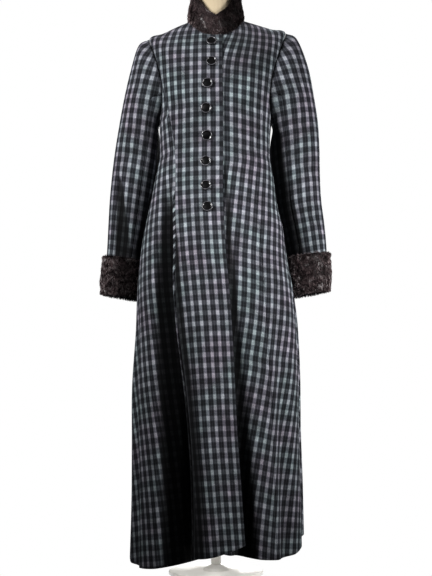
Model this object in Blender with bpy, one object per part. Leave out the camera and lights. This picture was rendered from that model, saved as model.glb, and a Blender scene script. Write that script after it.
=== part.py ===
"""A full-length princess-line coat, buttoned on a limbless dress form.

Metres, +Z up. The coat faces -Y, and the wearer's right is at -X. The origin is the centre of the base
plate's underside. Each cut piece of cloth is a closed wall that lies on one surface, which the LEVELS
table gives from the neck seam down to the hem, with the folds of the skirt pressed into it.
"""
import math
from collections import namedtuple

import bmesh
import bpy
from mathutils import Matrix, Vector

WALL = 0.002
SEAM_GAP = 0.0003
LAP_GAP = 0.0005
FUR_WALL = 0.006
MIN_SEAM_WIDTH = 0.002
SLEEVE_RADIUS = 0.060
CLOTH_COLOUR = (0.045, 0.05, 0.06, 1.0)
FUR_COLOUR = (0.022, 0.014, 0.014, 1.0)
HORN_COLOUR = (0.006, 0.006, 0.007, 1.0)
FORM_COLOUR = (0.62, 0.52, 0.38, 1.0)
METAL_COLOUR = (0.72, 0.68, 0.6, 1.0)

# A ring of the coat at each level: its height in front, at the wearer's right side, at the left side and
# behind, its half-widths and depths about a centre that is shifted along Y, and how square it is.
Level = namedtuple("Level", "name z_front z_right z_left z_back right left front back shift square")
LEVELS = (
    Level("neck seam", 1.392, 1.446, 1.449, 1.453, 0.069, 0.069, 0.064, 0.066, 0.000, 1.00),
    Level("collar bone", 1.372, 1.431, 1.436, 1.431, 0.103, 0.110, 0.076, 0.080, 0.000, 0.98),
    Level("mid shoulder", 1.345, 1.411, 1.423, 1.400, 0.143, 0.150, 0.089, 0.092, 0.000, 0.95),
    Level("shoulder point", 1.312, 1.396, 1.413, 1.364, 0.178, 0.186, 0.100, 0.102, 0.000, 0.90),
    Level("upper chest", 1.277, 1.336, 1.350, 1.318, 0.172, 0.178, 0.110, 0.106, 0.000, 0.88),
    Level("armhole middle", 1.240, 1.277, 1.282, 1.270, 0.163, 0.166, 0.118, 0.106, 0.000, 0.88),
    Level("bust", 1.203, 1.220, 1.222, 1.218, 0.155, 0.155, 0.122, 0.103, 0.000, 0.90),
    Level("armpit", 1.166, 1.166, 1.166, 1.166, 0.150, 0.147, 0.121, 0.099, 0.000, 0.92),
    Level("ribs", 1.120, 1.120, 1.120, 1.120, 0.149, 0.143, 0.114, 0.096, 0.000, 0.95),
    Level("waist", 1.070, 1.070, 1.070, 1.070, 0.150, 0.144, 0.108, 0.098, 0.000, 0.98),
    Level("high hip", 1.005, 1.005, 1.005, 1.005, 0.162, 0.153, 0.112, 0.114, -0.006, 1.00),
    Level("hip", 0.940, 0.940, 0.940, 0.940, 0.174, 0.161, 0.122, 0.134, -0.014, 1.00),
    Level("seat", 0.880, 0.880, 0.880, 0.880, 0.186, 0.174, 0.131, 0.150, -0.022, 1.00),
    Level("upper thigh", 0.810, 0.810, 0.810, 0.810, 0.196, 0.182, 0.142, 0.164, -0.030, 1.00),
    Level("cuff", 0.720, 0.720, 0.720, 0.720, 0.203, 0.197, 0.152, 0.178, -0.034, 1.00),
    Level("lower thigh", 0.620, 0.620, 0.620, 0.620, 0.2065, 0.210, 0.164, 0.186, -0.028, 1.00),
    Level("knee", 0.480, 0.480, 0.480, 0.480, 0.216, 0.217, 0.186, 0.190, -0.012, 1.00),
    Level("calf", 0.340, 0.340, 0.340, 0.340, 0.216, 0.218, 0.201, 0.198, -0.004, 1.00),
    Level("shin", 0.200, 0.200, 0.200, 0.200, 0.216, 0.222, 0.211, 0.206, 0.000, 1.00),
    Level("hem", 0.060, 0.060, 0.060, 0.060, 0.219, 0.224, 0.216, 0.212, 0.000, 1.00),
)
SHOULDER, ARMHOLE_MIDDLE, ARMPIT, WAIST, HEM = 3, 5, 7, 9, 19
ARMHOLE_SPREAD = 29.0
SHOULDER_RISE = 2.6

# Where the front seams run: distances from the middle in metres, toward +X, at each level from the armhole
# down. The lap edge is the front edge that shows, and the under edge is the one that it covers.
FrontSeams = namedtuple("FrontSeams", "level princess_right under lap princess_left")
FRONT_SEAMS = (
    FrontSeams(0, None, -0.022, 0.017, None),
    FrontSeams(3, None, -0.050, 0.017, None),
    FrontSeams(5, None, -0.055, 0.017, None),
    FrontSeams(7, -0.120, -0.055, 0.018, 0.117),
    FrontSeams(9, -0.106, -0.054, 0.018, 0.103),
    FrontSeams(11, -0.103, -0.053, 0.018, 0.105),
    FrontSeams(13, -0.101, -0.050, 0.024, 0.112),
    FrontSeams(14, -0.104, -0.042, 0.031, 0.118),
    FrontSeams(15, -0.098, -0.035, 0.038, 0.124),
    FrontSeams(16, -0.080, -0.029, 0.045, 0.132),
    FrontSeams(17, -0.066, -0.023, 0.051, 0.138),
    FrontSeams(18, -0.059, -0.014, 0.060, 0.142),
    FrontSeams(19, -0.058, -0.005, 0.069, 0.146),
)
# The other seams, in degrees round from the front.
OtherSeams = namedtuple("OtherSeams", "level side_right princess_back_right side_left princess_back_left")
OTHER_SEAMS = (
    OtherSeams(5, -90, -119, 90, 119),
    OtherSeams(7, -90, -128, 90, 128),
    OtherSeams(9, -90, -136, 90, 136),
    OtherSeams(14, -88, -134, 90, 134),
    OtherSeams(19, -82, -131, 88, 133),
)

# A fold is pressed into a panel: its middle and half-width as shares of the panel's width (at its start
# and at the hem), its depth at the hem, the levels where it starts and is full, and how steep its sides are.
Fold = namedtuple("Fold", "name panel middle half_start half_hem depth start full steep")
FOLDS = (
    Fold("deep fold", "side_front_right", 0.20, 0.15, 0.19, 0.070, 9.7, 14.0, 2.5),
    Fold("deep throat", "side_front_right", 0.14, 0.10, 0.13, 0.090, 11.0, 16.0, 2),
    Fold("side roll", "side_front_right", 0.00, 0.08, 0.10, 0.018, 11.5, 18.0, 2),
    Fold("front roll", "front_right", 1.00, 0.30, 0.36, 0.018, 11.5, 18.0, 1),
    Fold("lobe hollow", "side_front_right", 0.78, 0.10, 0.14, 0.012, 13.0, 18.0, 2),
    Fold("lap hollow", "front_left", 0.47, 0.24, 0.27, 0.052, 13.5, 19.0, 2),
    Fold("front swell", "front_right", 0.62, 0.25, 0.25, -0.007, 12.0, 18.0, 2),
    Fold("side hollow", "side_front_left", 0.22, 0.16, 0.20, 0.013, 13.5, 18.5, 2),
    Fold("side break", "side_front_left", 0.82, 0.10, 0.15, 0.012, 12.0, 18.0, 3),
    Fold("side pleat right", "side_back_right", 0.42, 0.18, 0.24, 0.055, 10.5, 17.0, 3),
    Fold("side pleat left", "side_back_left", 0.52, 0.18, 0.26, 0.062, 10.2, 16.5, 3),
    Fold("back pleat right", "back_right", 0.50, 0.20, 0.27, 0.050, 10.4, 17.5, 3),
    Fold("back pleat left", "back_left", 0.42, 0.18, 0.24, 0.058, 10.2, 17.0, 3),
)

# A panel lies between two edges. Its cells count its columns, its hem lifts by the three rises from its
# first edge to its last, and first is the level where it starts.
Panel = namedtuple("Panel", "name edge_a edge_b first cells rise_a rise_mid rise_b")
PANELS = (
    Panel("front_right", "lap", "front_edge_right", 0, 9, 0.036, 0.013, 0.002),
    Panel("front_left", "under", "front_edge_left", 0, 10, 0.022, 0.005, -0.004),
    Panel("side_front_right", "princess_right", "side_right", 5, 14, 0.002, -0.028, -0.022),
    Panel("side_front_left", "princess_left", "side_left", 5, 7, -0.004, 0.006, 0.042),
    Panel("side_back_right", "side_right", "princess_back_right", 5, 7, -0.022, 0.004, 0.008),
    Panel("side_back_left", "side_left", "princess_back_left", 5, 7, 0.042, 0.020, 0.008),
    Panel("back_right", "back_edge_right", "centre_back_right", 0, 7, 0.008, 0.004, 0.010),
    Panel("back_left", "back_edge_left", "centre_back_left", 0, 7, 0.008, 0.012, 0.010),
)
LAP_RAMP = 0.030
LAP_CELLS = 3
SPACING_LEVEL = 18.0
YOKE_LEVELS = (0, 0.5, 1, 1.5, 2, 2.5)
BODY_LEVELS = (7.5, 8, 8.5, 9, 9.5, 10, 10.6, 11.2, 11.8, 12.4, 13, 13.7, 14.4, 15.1, 15.8, 16.5, 17.2, 18, 19)
SIDE_PANEL_TOP = ARMHOLE_MIDDLE + 0.12

# A ring of a sleeve: its inner and outer points in the XZ plane (X away from the body), the Y of its
# middle, and its half-depth.
SleeveRing = namedtuple("SleeveRing", "x_in z_in x_out z_out y depth")
RIGHT_SLEEVE = (
    SleeveRing(0.1525, 1.152, 0.207, 1.379, 0.002, 0.066),
    SleeveRing(0.1503, 1.140, 0.229, 1.310, 0.010, 0.067),
    SleeveRing(0.1486, 1.122, 0.246, 1.238, 0.018, 0.065),
    SleeveRing(0.1475, 1.096, 0.259, 1.168, 0.026, 0.062),
    SleeveRing(0.1500, 1.050, 0.270, 1.100, 0.032, 0.059),
    SleeveRing(0.1580, 0.995, 0.278, 1.035, 0.037, 0.057),
    SleeveRing(0.1670, 0.935, 0.284, 0.966, 0.041, 0.055),
    SleeveRing(0.1780, 0.872, 0.288, 0.895, 0.049, 0.053),
    SleeveRing(0.1880, 0.805, 0.292, 0.822, 0.058, 0.052),
    SleeveRing(0.197, 0.705, 0.299, 0.722, 0.066, 0.053),
)
LEFT_SLEEVE = (
    SleeveRing(0.1482, 1.154, 0.2165, 1.398, 0.003, 0.066),
    SleeveRing(0.1464, 1.142, 0.246, 1.325, 0.010, 0.067),
    SleeveRing(0.1430, 1.124, 0.262, 1.246, 0.018, 0.065),
    SleeveRing(0.1412, 1.098, 0.273, 1.175, 0.026, 0.062),
    SleeveRing(0.1435, 1.052, 0.277, 1.106, 0.032, 0.059),
    SleeveRing(0.1500, 0.998, 0.278, 1.040, 0.037, 0.057),
    SleeveRing(0.1560, 0.940, 0.281, 0.972, 0.041, 0.055),
    SleeveRing(0.1700, 0.880, 0.290, 0.902, 0.048, 0.053),
    SleeveRing(0.1840, 0.815, 0.296, 0.832, 0.056, 0.052),
    SleeveRing(0.193, 0.712, 0.298, 0.732, 0.064, 0.053),
)
SLEEVE_COLUMNS = 16
UPPER_COLUMNS = range(-5, 6)
UNDER_COLUMNS = range(5, 12)
SLEEVE_LEVELS = (0.0, 0.4, 0.9, 1.6, 2.4, 3.3, 4.2, 5.1, 6.0, 7.0, 8.0)
CUFF_LEVELS = (9.05, 9.4, 9.7, 10.0)
CUFF_ROLL = 0.0045

# The collar's top edge: its rise over the neck seam at angles round from the front, and its lean inward.
CollarEdge = namedtuple("CollarEdge", "angle rise lean")
COLLAR_EDGE = (
    CollarEdge(0, 0.050, 0.004), CollarEdge(25, 0.068, 0.004), CollarEdge(50, 0.082, 0.006),
    CollarEdge(70, 0.072, 0.009), CollarEdge(90, 0.058, 0.009), CollarEdge(130, 0.054, 0.007),
    CollarEdge(180, 0.056, 0.005),
)
COLLAR_ROWS = 3
COLLAR_FRONT = -5.0
COLLAR_OPENING = 0.8
COLLAR_SEAT = 0.0008
COLLAR_SET_IN = 0.0015
COLLAR_SWELL = 0.003

BUTTON_RADIUS = 0.014
BUTTON_THICKNESS = 0.0055
BUTTON_RIM = 0.0032
BUTTON_DISH = 0.0020
BUTTON_SIDES = 16
ButtonPlace = namedtuple("ButtonPlace", "x z")
BUTTONS = (
    ButtonPlace(-0.0118, 1.368), ButtonPlace(-0.0116, 1.308), ButtonPlace(-0.0218, 1.243),
    ButtonPlace(-0.0242, 1.177), ButtonPlace(-0.0229, 1.109), ButtonPlace(-0.0254, 1.041),
    ButtonPlace(-0.0252, 0.975), ButtonPlace(-0.0212, 0.918),
)

# The dress form follows the coat's inside: its clearance at each level, and its neck above the neck seam.
FormRing = namedtuple("FormRing", "level clearance")
FORM_RINGS = (
    FormRing(0.0, 0.0025), FormRing(0.5, 0.0008), FormRing(1.0, 0.0006), FormRing(1.5, 0.0006),
    FormRing(2.0, 0.0006), FormRing(2.5, 0.0010), FormRing(3.0, 0.0030), FormRing(3.5, 0.0050), FormRing(4.0, 0.0060),
    FormRing(5.0, 0.0060), FormRing(6.0, 0.0060), FormRing(7.0, 0.0060), FormRing(8.0, 0.0060),
    FormRing(9.0, 0.0060), FormRing(10.0, 0.0110), FormRing(10.6, 0.0200), FormRing(11.0, 0.0300),
)
FORM_FLOOR = 0.935
FORM_FRONT_EASE = 0.003
NECK_WIDTH, NECK_DEPTH, NECK_CENTRE = 0.0485, 0.049, 0.001
NECK_TOP = 1.534
NECK_FOOT_RISE = 0.004
NECK_SLOPE_TOP = 1.500
# A ring of the neck above the neck seam: its height, and how far it is drawn in to the neck's oval.
NeckRing = namedtuple("NeckRing", "height share")
NECK_RINGS = (NeckRing(NECK_TOP, 1.0), NeckRing(NECK_SLOPE_TOP, 1.0), NeckRing(1.475, 0.94), NeckRing(1.458, 0.72))
CAP_HEIGHT = 0.012
CAP_MARGIN = 0.003
POLE_RADIUS = 0.0125
POLE_SIDES = 20
BASE_RADIUS = 0.120
BASE_HEIGHT = 0.008
BASE_BEVEL = 0.002
BASE_SIDES = 48
FLANGE_RADIUS, FLANGE_HEIGHT = 0.034, 0.014


def smooth(value):
    """Ease a value between 0 and 1."""
    value = min(max(value, 0.0), 1.0)
    return value * value * (3.0 - 2.0 * value)


def curve_value(knots, place):
    """Read a smooth curve through (place, value) knots, level beyond its ends."""
    if place <= knots[0][0]:
        return knots[0][1]
    if place >= knots[-1][0]:
        return knots[-1][1]
    index = max(i for i, knot in enumerate(knots[:-1]) if knot[0] <= place)
    (x0, y0), (x1, y1) = knots[index], knots[index + 1]
    before = knots[index - 1] if index else knots[index]
    after = knots[index + 2] if index + 2 < len(knots) else knots[index + 1]
    slope0 = (y1 - before[1]) / (x1 - before[0])
    slope1 = (after[1] - y0) / (after[0] - x0)
    span, share = x1 - x0, (place - x0) / (x1 - x0)
    rest = 1.0 - share
    return (y0 * (1 + 2 * share) * rest ** 2 + slope0 * span * share * rest ** 2
            + y1 * share ** 2 * (3 - 2 * share) - slope1 * span * share ** 2 * rest)


def level_value(column, level):
    """Read one column of the LEVELS table at a fractional level."""
    return curve_value([(i, getattr(row, column)) for i, row in enumerate(LEVELS)], level)


def armhole_angle(level):
    """Half the armhole's angle at a level: zero at the shoulder point and at the armpit."""
    share = (level - ARMHOLE_MIDDLE) / (ARMPIT - ARMHOLE_MIDDLE)
    return ARMHOLE_SPREAD * math.sqrt(max(0.0, 1.0 - share * share))


def front_angle(column, level):
    """The angle of a front seam, from its distance to the middle."""
    knots = [(row.level, getattr(row, column)) for row in FRONT_SEAMS if getattr(row, column) is not None]
    if column.startswith("princess"):
        side = -1 if column.endswith("right") else 1
        start = (90.0 - ARMHOLE_SPREAD) * math.pi / 180.0
        width = level_value("right" if side < 0 else "left", ARMHOLE_MIDDLE)
        knots.insert(0, (ARMHOLE_MIDDLE, side * width * math.sin(start)))
    distance = curve_value(knots, level)
    width = level_value("right" if distance < 0 else "left", level)
    return math.degrees(math.asin(distance / width))


def edge_angle(edge, level):
    """The angle of a panel's edge at a level."""
    if edge in ("lap", "under"):
        return front_angle(edge, level)
    side = -1 if edge.endswith("right") else 1
    if edge.startswith("centre_back"):
        return side * 180.0
    if edge.startswith("princess_back"):
        return curve_value([(row.level, getattr(row, edge)) for row in OTHER_SEAMS], level)
    if edge.startswith("front_edge") or edge.startswith("back_edge"):
        turn = -1 if edge.startswith("front") else 1
        if level <= SHOULDER:
            return side * 90.0
        if level <= ARMHOLE_MIDDLE:
            return side * (90.0 + turn * armhole_angle(level))
        seam = "princess_" if turn < 0 else "princess_back_"
        return edge_angle(seam + ("right" if side < 0 else "left"), level)
    if edge.startswith("princess"):
        return front_angle(edge, level)
    return curve_value([(row.level, getattr(row, edge)) for row in OTHER_SEAMS], level)


def panel_angle(panel, share, level):
    """The angle at a share of a panel's width. Side panels end at the armhole above the armpit."""
    first, last = edge_angle(panel.edge_a, level), edge_angle(panel.edge_b, level)
    if level < ARMPIT:
        if panel.edge_a.startswith("side_"):
            first += math.copysign(armhole_angle(level), first)
        if panel.edge_b.startswith("side_"):
            last -= math.copysign(armhole_angle(level), last)
    return first + (last - first) * share


def fold_depth(panel, share, level):
    """How far the folds press a panel inward at a place."""
    depth = 0.0
    for fold in FOLDS:
        if fold.panel != panel.name or level <= fold.start:
            continue
        reach = (level - fold.start) / (HEM - fold.start)
        half = fold.half_start + (fold.half_hem - fold.half_start) * reach
        offset = abs(share - fold.middle) / half
        if offset < 1.0:
            grown = smooth((level - fold.start) / (fold.full - fold.start))
            depth += fold.depth * grown * (1.0 - offset ** fold.steep) ** 2
    return depth


def ring_point(angle, level, inward=0.0, lift=0.0):
    """A point of the coat's outer surface at an angle round from the front and a level."""
    turn = math.radians(angle)
    sine, cosine = math.sin(turn), math.cos(turn)
    width = level_value("right" if sine < 0 else "left", level)
    depth = level_value("front" if cosine > 0 else "back", level)
    shift = level_value("shift", level)
    square = level_value("square", level)
    x = width * sine
    y = -math.copysign(depth * abs(cosine) ** square, cosine)
    z_side = level_value("z_right" if sine < 0 else "z_left", level)
    z_end = level_value("z_front" if cosine > 0 else "z_back", level)
    radius = math.hypot(x, y)
    keep = (radius - inward) / radius
    return Vector((x * keep, y * keep + shift, z_end + (z_side - z_end) * abs(sine) ** SHOULDER_RISE + lift))


def hem_rise(panel, share, level):
    """How much the panel's lower edge lifts, fading out toward the waist."""
    bow = panel.rise_mid - 0.5 * (panel.rise_a + panel.rise_b)
    rise = panel.rise_a + (panel.rise_b - panel.rise_a) * share + bow * 4.0 * share * (1.0 - share)
    return rise * max(0.0, (level - WAIST) / (HEM - WAIST)) ** 2


def surface_point(panel, share, level):
    """A point of a panel's outer surface, with its folds."""
    return ring_point(panel_angle(panel, share, level), level, fold_depth(panel, share, level),
                      hem_rise(panel, share, level))


def surface_normal(panel, share, level, step=0.004):
    """The outward normal there, from two short steps over the surface."""
    a, b = max(0.0, share - step), min(1.0, share + step)
    low, high = max(panel.first + 0.02, level - step * 4), min(HEM, level + step * 4)
    across = surface_point(panel, b, level) - surface_point(panel, a, level)
    down = surface_point(panel, share, high) - surface_point(panel, share, low)
    normal = across.cross(down).normalized()
    outward = surface_point(panel, share, level)
    outward -= Vector((0.0, level_value("shift", level), outward.z))
    if panel.first == 0 and level < 1.0:
        outward.z = 0.05
    return normal * math.copysign(1.0, normal.dot(outward))


def lap_lift(panel, share, level):
    """How far the lapping front stands off, so that it lies over the front beneath it."""
    if panel.name != "front_right":
        return 0.0
    distance = surface_point(panel, share, level).x - curve_value(
        [(row.level, row.under) for row in FRONT_SEAMS], level)
    return (WALL + LAP_GAP) * smooth(distance / LAP_RAMP + 1.0)


def wall_object(name, grid_outer, grid_inner, closed=False):
    """Close two grids of points into one wall with rims round its open edges."""
    mesh = bmesh.new()
    outer = [[mesh.verts.new(point) for point in row] for row in grid_outer]
    inner = [[mesh.verts.new(point) for point in row] for row in grid_inner]
    rows, columns = len(outer), len(outer[0])
    span = columns if closed else columns - 1
    for i in range(rows - 1):
        for j in range(span):
            k = (j + 1) % columns
            mesh.faces.new((outer[i][j], outer[i + 1][j], outer[i + 1][k], outer[i][k]))
            mesh.faces.new((inner[i][k], inner[i + 1][k], inner[i + 1][j], inner[i][j]))
    for j in range(span):
        k = (j + 1) % columns
        mesh.faces.new((outer[0][j], outer[0][k], inner[0][k], inner[0][j]))
        mesh.faces.new((outer[-1][k], outer[-1][j], inner[-1][j], inner[-1][k]))
    if not closed:
        for i in range(rows - 1):
            mesh.faces.new((outer[i + 1][0], outer[i][0], inner[i][0], inner[i + 1][0]))
            mesh.faces.new((outer[i][-1], outer[i + 1][-1], inner[i + 1][-1], inner[i][-1]))
    bmesh.ops.recalc_face_normals(mesh, faces=mesh.faces[:])
    return mesh_object(name, mesh)


def mesh_object(name, mesh):
    """Turn a bmesh into an object of triangles, shaded smooth."""
    bmesh.ops.triangulate(mesh, faces=mesh.faces[:])
    data = bpy.data.meshes.new(name)
    mesh.to_mesh(data)
    mesh.free()
    data.shade_smooth()
    data.set_sharp_from_angle(angle=math.radians(50.0))
    made = bpy.data.objects.new(name, data)
    bpy.context.scene.collection.objects.link(made)
    return made


def dress(made, colour, roughness, metallic=0.0):
    """Give an object its own material."""
    material = bpy.data.materials.new(made.name)
    material.use_nodes = True
    shader = material.node_tree.nodes["Principled BSDF"]
    shader.inputs["Base Color"].default_value = colour
    shader.inputs["Roughness"].default_value = roughness
    shader.inputs["Metallic"].default_value = metallic
    made.data.materials.append(material)


def armhole_levels():
    """The levels of the sleeve head's points, shared by the panels' armhole edges."""
    half = SLEEVE_COLUMNS // 2
    reach = ARMPIT - ARMHOLE_MIDDLE
    return [ARMHOLE_MIDDLE - reach * math.cos(math.pi * i / half) for i in range(half + 1)]


def panel_rows(panel):
    """The levels of a panel's rows."""
    if panel.first == 0:
        return [*YOKE_LEVELS, *armhole_levels(), *BODY_LEVELS]
    return [SIDE_PANEL_TOP, *(level for level in armhole_levels() if level > SIDE_PANEL_TOP), *BODY_LEVELS]


def lap_share(panel, level):
    """The share of a front panel's width that lies in the lap."""
    other = "under" if panel.edge_a == "lap" else "lap"
    first, last = edge_angle(panel.edge_a, level), edge_angle(panel.edge_b, level)
    return (edge_angle(other, level) - first) / (last - first)


def panel_columns(panel, level):
    """Shares of a panel's width for its columns, evenly spaced along its folds near the hem. Both fronts
    have the same columns in the lap, so that one lies flat on the other."""
    in_lap = LAP_CELLS if panel.edge_a in ("lap", "under") else 0
    start = lap_share(panel, SPACING_LEVEL) if in_lap else 0.0
    count = 150
    places = [start + (1.0 - start) * i / count for i in range(count + 1)]
    points = [surface_point(panel, place, SPACING_LEVEL) for place in places]
    lengths = [0.0]
    for before, after in zip(points, points[1:]):
        lengths.append(lengths[-1] + (after - before).length)
    cells = panel.cells - in_lap
    shares = []
    for cell in range(cells):
        goal = lengths[-1] * cell / cells
        index = max(i for i, length in enumerate(lengths) if length <= goal)
        part = (goal - lengths[index]) / (lengths[index + 1] - lengths[index])
        shares.append((index + part) / count)
    shares.append(1.0)
    end = lap_share(panel, level) if in_lap else 0.0
    return [end * i / LAP_CELLS for i in range(in_lap)] + [end + (1.0 - end) * share for share in shares]


def inset_share(panel, share, level):
    """Draw a panel's edge back by half a seam gap."""
    if 0.0 < share < 1.0:
        return share
    probe = 0.01
    width = (surface_point(panel, probe, level) - surface_point(panel, 0.0, level)).length / probe
    pull = 0.5 * SEAM_GAP / max(width, MIN_SEAM_WIDTH)
    return pull if share == 0.0 else 1.0 - pull


def build_panel(panel):
    """Make one cut piece of the coat's body."""
    outer, inner = [], []
    for level in panel_rows(panel):
        row_outer, row_inner = [], []
        for share in panel_columns(panel, level):
            place = inset_share(panel, share, level)
            point = surface_point(panel, place, level)
            normal = surface_normal(panel, place, level)
            lift = lap_lift(panel, place, level)
            away = Vector((normal.x, normal.y, normal.z * min(1.0, level)))
            raised = point + away * (lift / away.dot(normal))
            row_outer.append(raised)
            row_inner.append(raised - normal * WALL)
        outer.append(row_outer)
        inner.append(row_inner)
    made = wall_object(panel.name, outer, inner)
    dress(made, CLOTH_COLOUR, 0.9)


def sleeve_knots(side, turn):
    """The points that one line of a sleeve runs through, from the armhole to the wrist."""
    rings = RIGHT_SLEEVE if side < 0 else LEFT_SLEEVE
    angle = side * (90.0 - ARMHOLE_SPREAD * math.sin(turn))
    level = ARMHOLE_MIDDLE - (ARMPIT - ARMHOLE_MIDDLE) * math.cos(turn)
    points = [ring_point(angle, level)]
    for ring in rings:
        middle = Vector((side * (ring.x_in + ring.x_out) / 2, ring.y, (ring.z_in + ring.z_out) / 2))
        reach = Vector((side * (ring.x_out - ring.x_in) / 2, 0.0, (ring.z_out - ring.z_in) / 2))
        points.append(middle + reach * math.cos(turn) - Vector((0.0, ring.depth, 0.0)) * math.sin(turn))
    return points


def sleeve_point(side, turn, ring):
    """A point of a sleeve's outer surface."""
    points = sleeve_knots(side, turn)
    return Vector(curve_value([(i, point[axis]) for i, point in enumerate(points)], ring)
                  for axis in range(3))


def sleeve_normal(side, turn, ring, step=0.02):
    """The outward normal of a sleeve."""
    low, high = max(0.0, ring - step), min(CUFF_LEVELS[-1], ring + step)
    across = sleeve_point(side, turn + step, ring) - sleeve_point(side, turn - step, ring)
    along = sleeve_point(side, turn, high) - sleeve_point(side, turn, low)
    normal = across.cross(along).normalized() * side
    return normal


def build_sleeve(side, name, columns):
    """Make the upper or the under piece of a sleeve."""
    outer, inner = [], []
    first, last = columns[0], columns[-1]
    for ring in SLEEVE_LEVELS + CUFF_LEVELS:
        row_outer, row_inner = [], []
        for column in columns:
            turn = 2.0 * math.pi * column / SLEEVE_COLUMNS
            if column == first:
                turn += 0.5 * SEAM_GAP / SLEEVE_RADIUS
            if column == last:
                turn -= 0.5 * SEAM_GAP / SLEEVE_RADIUS
            point = sleeve_point(side, turn, ring)
            if ring == 0.0:
                ahead = sleeve_point(side, turn, 0.05)
                point += (ahead - point).normalized() * SEAM_GAP * 2.0
            normal = sleeve_normal(side, turn, max(ring, 0.03))
            row_outer.append(point)
            row_inner.append(point - normal * WALL)
        outer.append(row_outer)
        inner.append(row_inner)
    made = wall_object(name, outer, inner)
    dress(made, CLOTH_COLOUR, 0.9)


def build_cuff(side, name):
    """Make a turned-back cuff, a thick band that lies round the end of its sleeve."""
    outer, inner = [], []
    for i, ring in enumerate(CUFF_LEVELS):
        share = i / (len(CUFF_LEVELS) - 1)
        row_outer, row_inner = [], []
        thick = FUR_WALL + CUFF_ROLL * math.sin(math.pi * min(max(share, 0.12), 0.88))
        for column in range(SLEEVE_COLUMNS):
            turn = 2.0 * math.pi * column / SLEEVE_COLUMNS
            point, normal = sleeve_point(side, turn, ring), sleeve_normal(side, turn, ring)
            row_inner.append(point + normal * SEAM_GAP)
            row_outer.append(point + normal * (SEAM_GAP + thick))
        outer.append(row_outer)
        inner.append(row_inner)
    made = wall_object(name, outer, inner, closed=True)
    dress(made, FUR_COLOUR, 0.8)


def build_collar():
    """Make the standing collar on the neck seam, with its ends meeting in front."""
    edge = [(row.angle, row.rise) for row in COLLAR_EDGE]
    leans = [(row.angle, row.lean) for row in COLLAR_EDGE]
    seats = form_angles(0)
    front = min(range(len(seats)), key=lambda i: abs(seats[i] - COLLAR_FRONT))
    angles = [seats[front] - COLLAR_OPENING] + seats[front + 1:] + seats[:front]
    angles.append(seats[front] + COLLAR_OPENING)
    outer, inner = [], []
    for i in range(COLLAR_ROWS + 1):
        share = i / COLLAR_ROWS
        row_outer, row_inner = [], []
        for angle in angles:
            foot = ring_point(angle, 0.0)
            radial = Vector((foot.x, foot.y, 0.0)).normalized()
            rise = COLLAR_SEAT + curve_value(edge, abs(angle)) * share
            lean = curve_value(leans, abs(angle)) * share
            swell = COLLAR_SWELL * math.sin(math.pi * share)
            place = foot + Vector((0.0, 0.0, rise)) - radial * lean
            row_outer.append(place + radial * (FUR_WALL - COLLAR_SET_IN + swell))
            row_inner.append(place - radial * COLLAR_SET_IN)
        outer.append(row_outer)
        inner.append(row_inner)
    made = wall_object("collar", outer, inner)
    dress(made, FUR_COLOUR, 0.8)


def turned_object(name, profile, sides, centre=(0.0, 0.0)):
    """Turn a profile of (radius, height) points, which starts and ends on the axis."""
    mesh = bmesh.new()
    line = [mesh.verts.new((radius, 0.0, height)) for radius, height in profile]
    edges = [mesh.edges.new(pair) for pair in zip(line, line[1:])]
    bmesh.ops.spin(mesh, geom=line + edges, cent=(0, 0, 0), axis=(0, 0, 1), angle=2 * math.pi, steps=sides,
                   use_merge=True)
    bmesh.ops.remove_doubles(mesh, verts=mesh.verts[:], dist=1e-6)
    bmesh.ops.recalc_face_normals(mesh, faces=mesh.faces[:])
    bmesh.ops.translate(mesh, verts=mesh.verts[:], vec=(centre[0], centre[1], 0.0))
    return mesh_object(name, mesh)


def build_button(index, place):
    """Make a rimmed button whose back lies just off the lapping front."""
    panel = PANELS[0]
    level = min((i * 0.01 for i in range(100, 1400)),
                key=lambda v: abs(surface_point(panel, 0.3, v).z - place.z))
    share = min((i * 0.002 for i in range(500)),
                key=lambda s: abs(surface_point(panel, s, level).x - place.x))
    seat = surface_point(panel, share, level)
    normal = surface_normal(panel, share, level)
    seat += normal * lap_lift(panel, share, level)
    bulge = max((surface_point(panel, min(max(share + ds, 0.0), 1.0), level + dv)
                 + normal * lap_lift(panel, share, level) - seat).dot(normal)
                for ds in (-0.1, 0.0, 0.1) for dv in (-0.25, 0.0, 0.25))
    profile = [(0.0, 0.0), (BUTTON_RADIUS - 0.001, 0.0), (BUTTON_RADIUS, 0.0015),
               (BUTTON_RADIUS, BUTTON_THICKNESS - 0.001),
               (BUTTON_RADIUS - 0.5 * BUTTON_RIM, BUTTON_THICKNESS),
               (BUTTON_RADIUS - BUTTON_RIM, BUTTON_THICKNESS - BUTTON_DISH), (0.0, BUTTON_THICKNESS - BUTTON_DISH)]
    made = turned_object("button_%d" % index, profile, BUTTON_SIDES)
    turn = Vector((0.0, 0.0, 1.0)).rotation_difference(normal).to_matrix().to_4x4()
    made.data.transform(Matrix.Translation(seat + normal * (bulge + SEAM_GAP)) @ turn)
    dress(made, HORN_COLOUR, 0.25)


def form_angles(level):
    """Angles round the form that match the columns of the panels over the shoulders."""
    columns = {panel.name: [panel_angle(panel, share, level) for share in panel_columns(panel, level)]
               for panel in PANELS if panel.first == 0}
    angles = columns["front_right"] + columns["back_right"][1:]
    return angles + columns["back_left"][-2::-1] + columns["front_left"][-2:LAP_CELLS:-1]


def form_ring(level, clearance):
    """A ring of the dress form, just inside the coat's wall."""
    points = []
    top = min(level, SHOULDER)
    for angle in form_angles(top):
        across = ring_point(angle + 0.5, level) - ring_point(angle - 0.5, level)
        down = ring_point(angle, level + 0.05) - ring_point(angle, max(0.0, level - 0.05))
        normal = down.cross(across).normalized()
        spread = clearance + FORM_FRONT_EASE * math.cos(math.radians(angle)) ** 2
        points.append(ring_point(angle, level) - normal * (WALL + spread))
    return points


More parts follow.
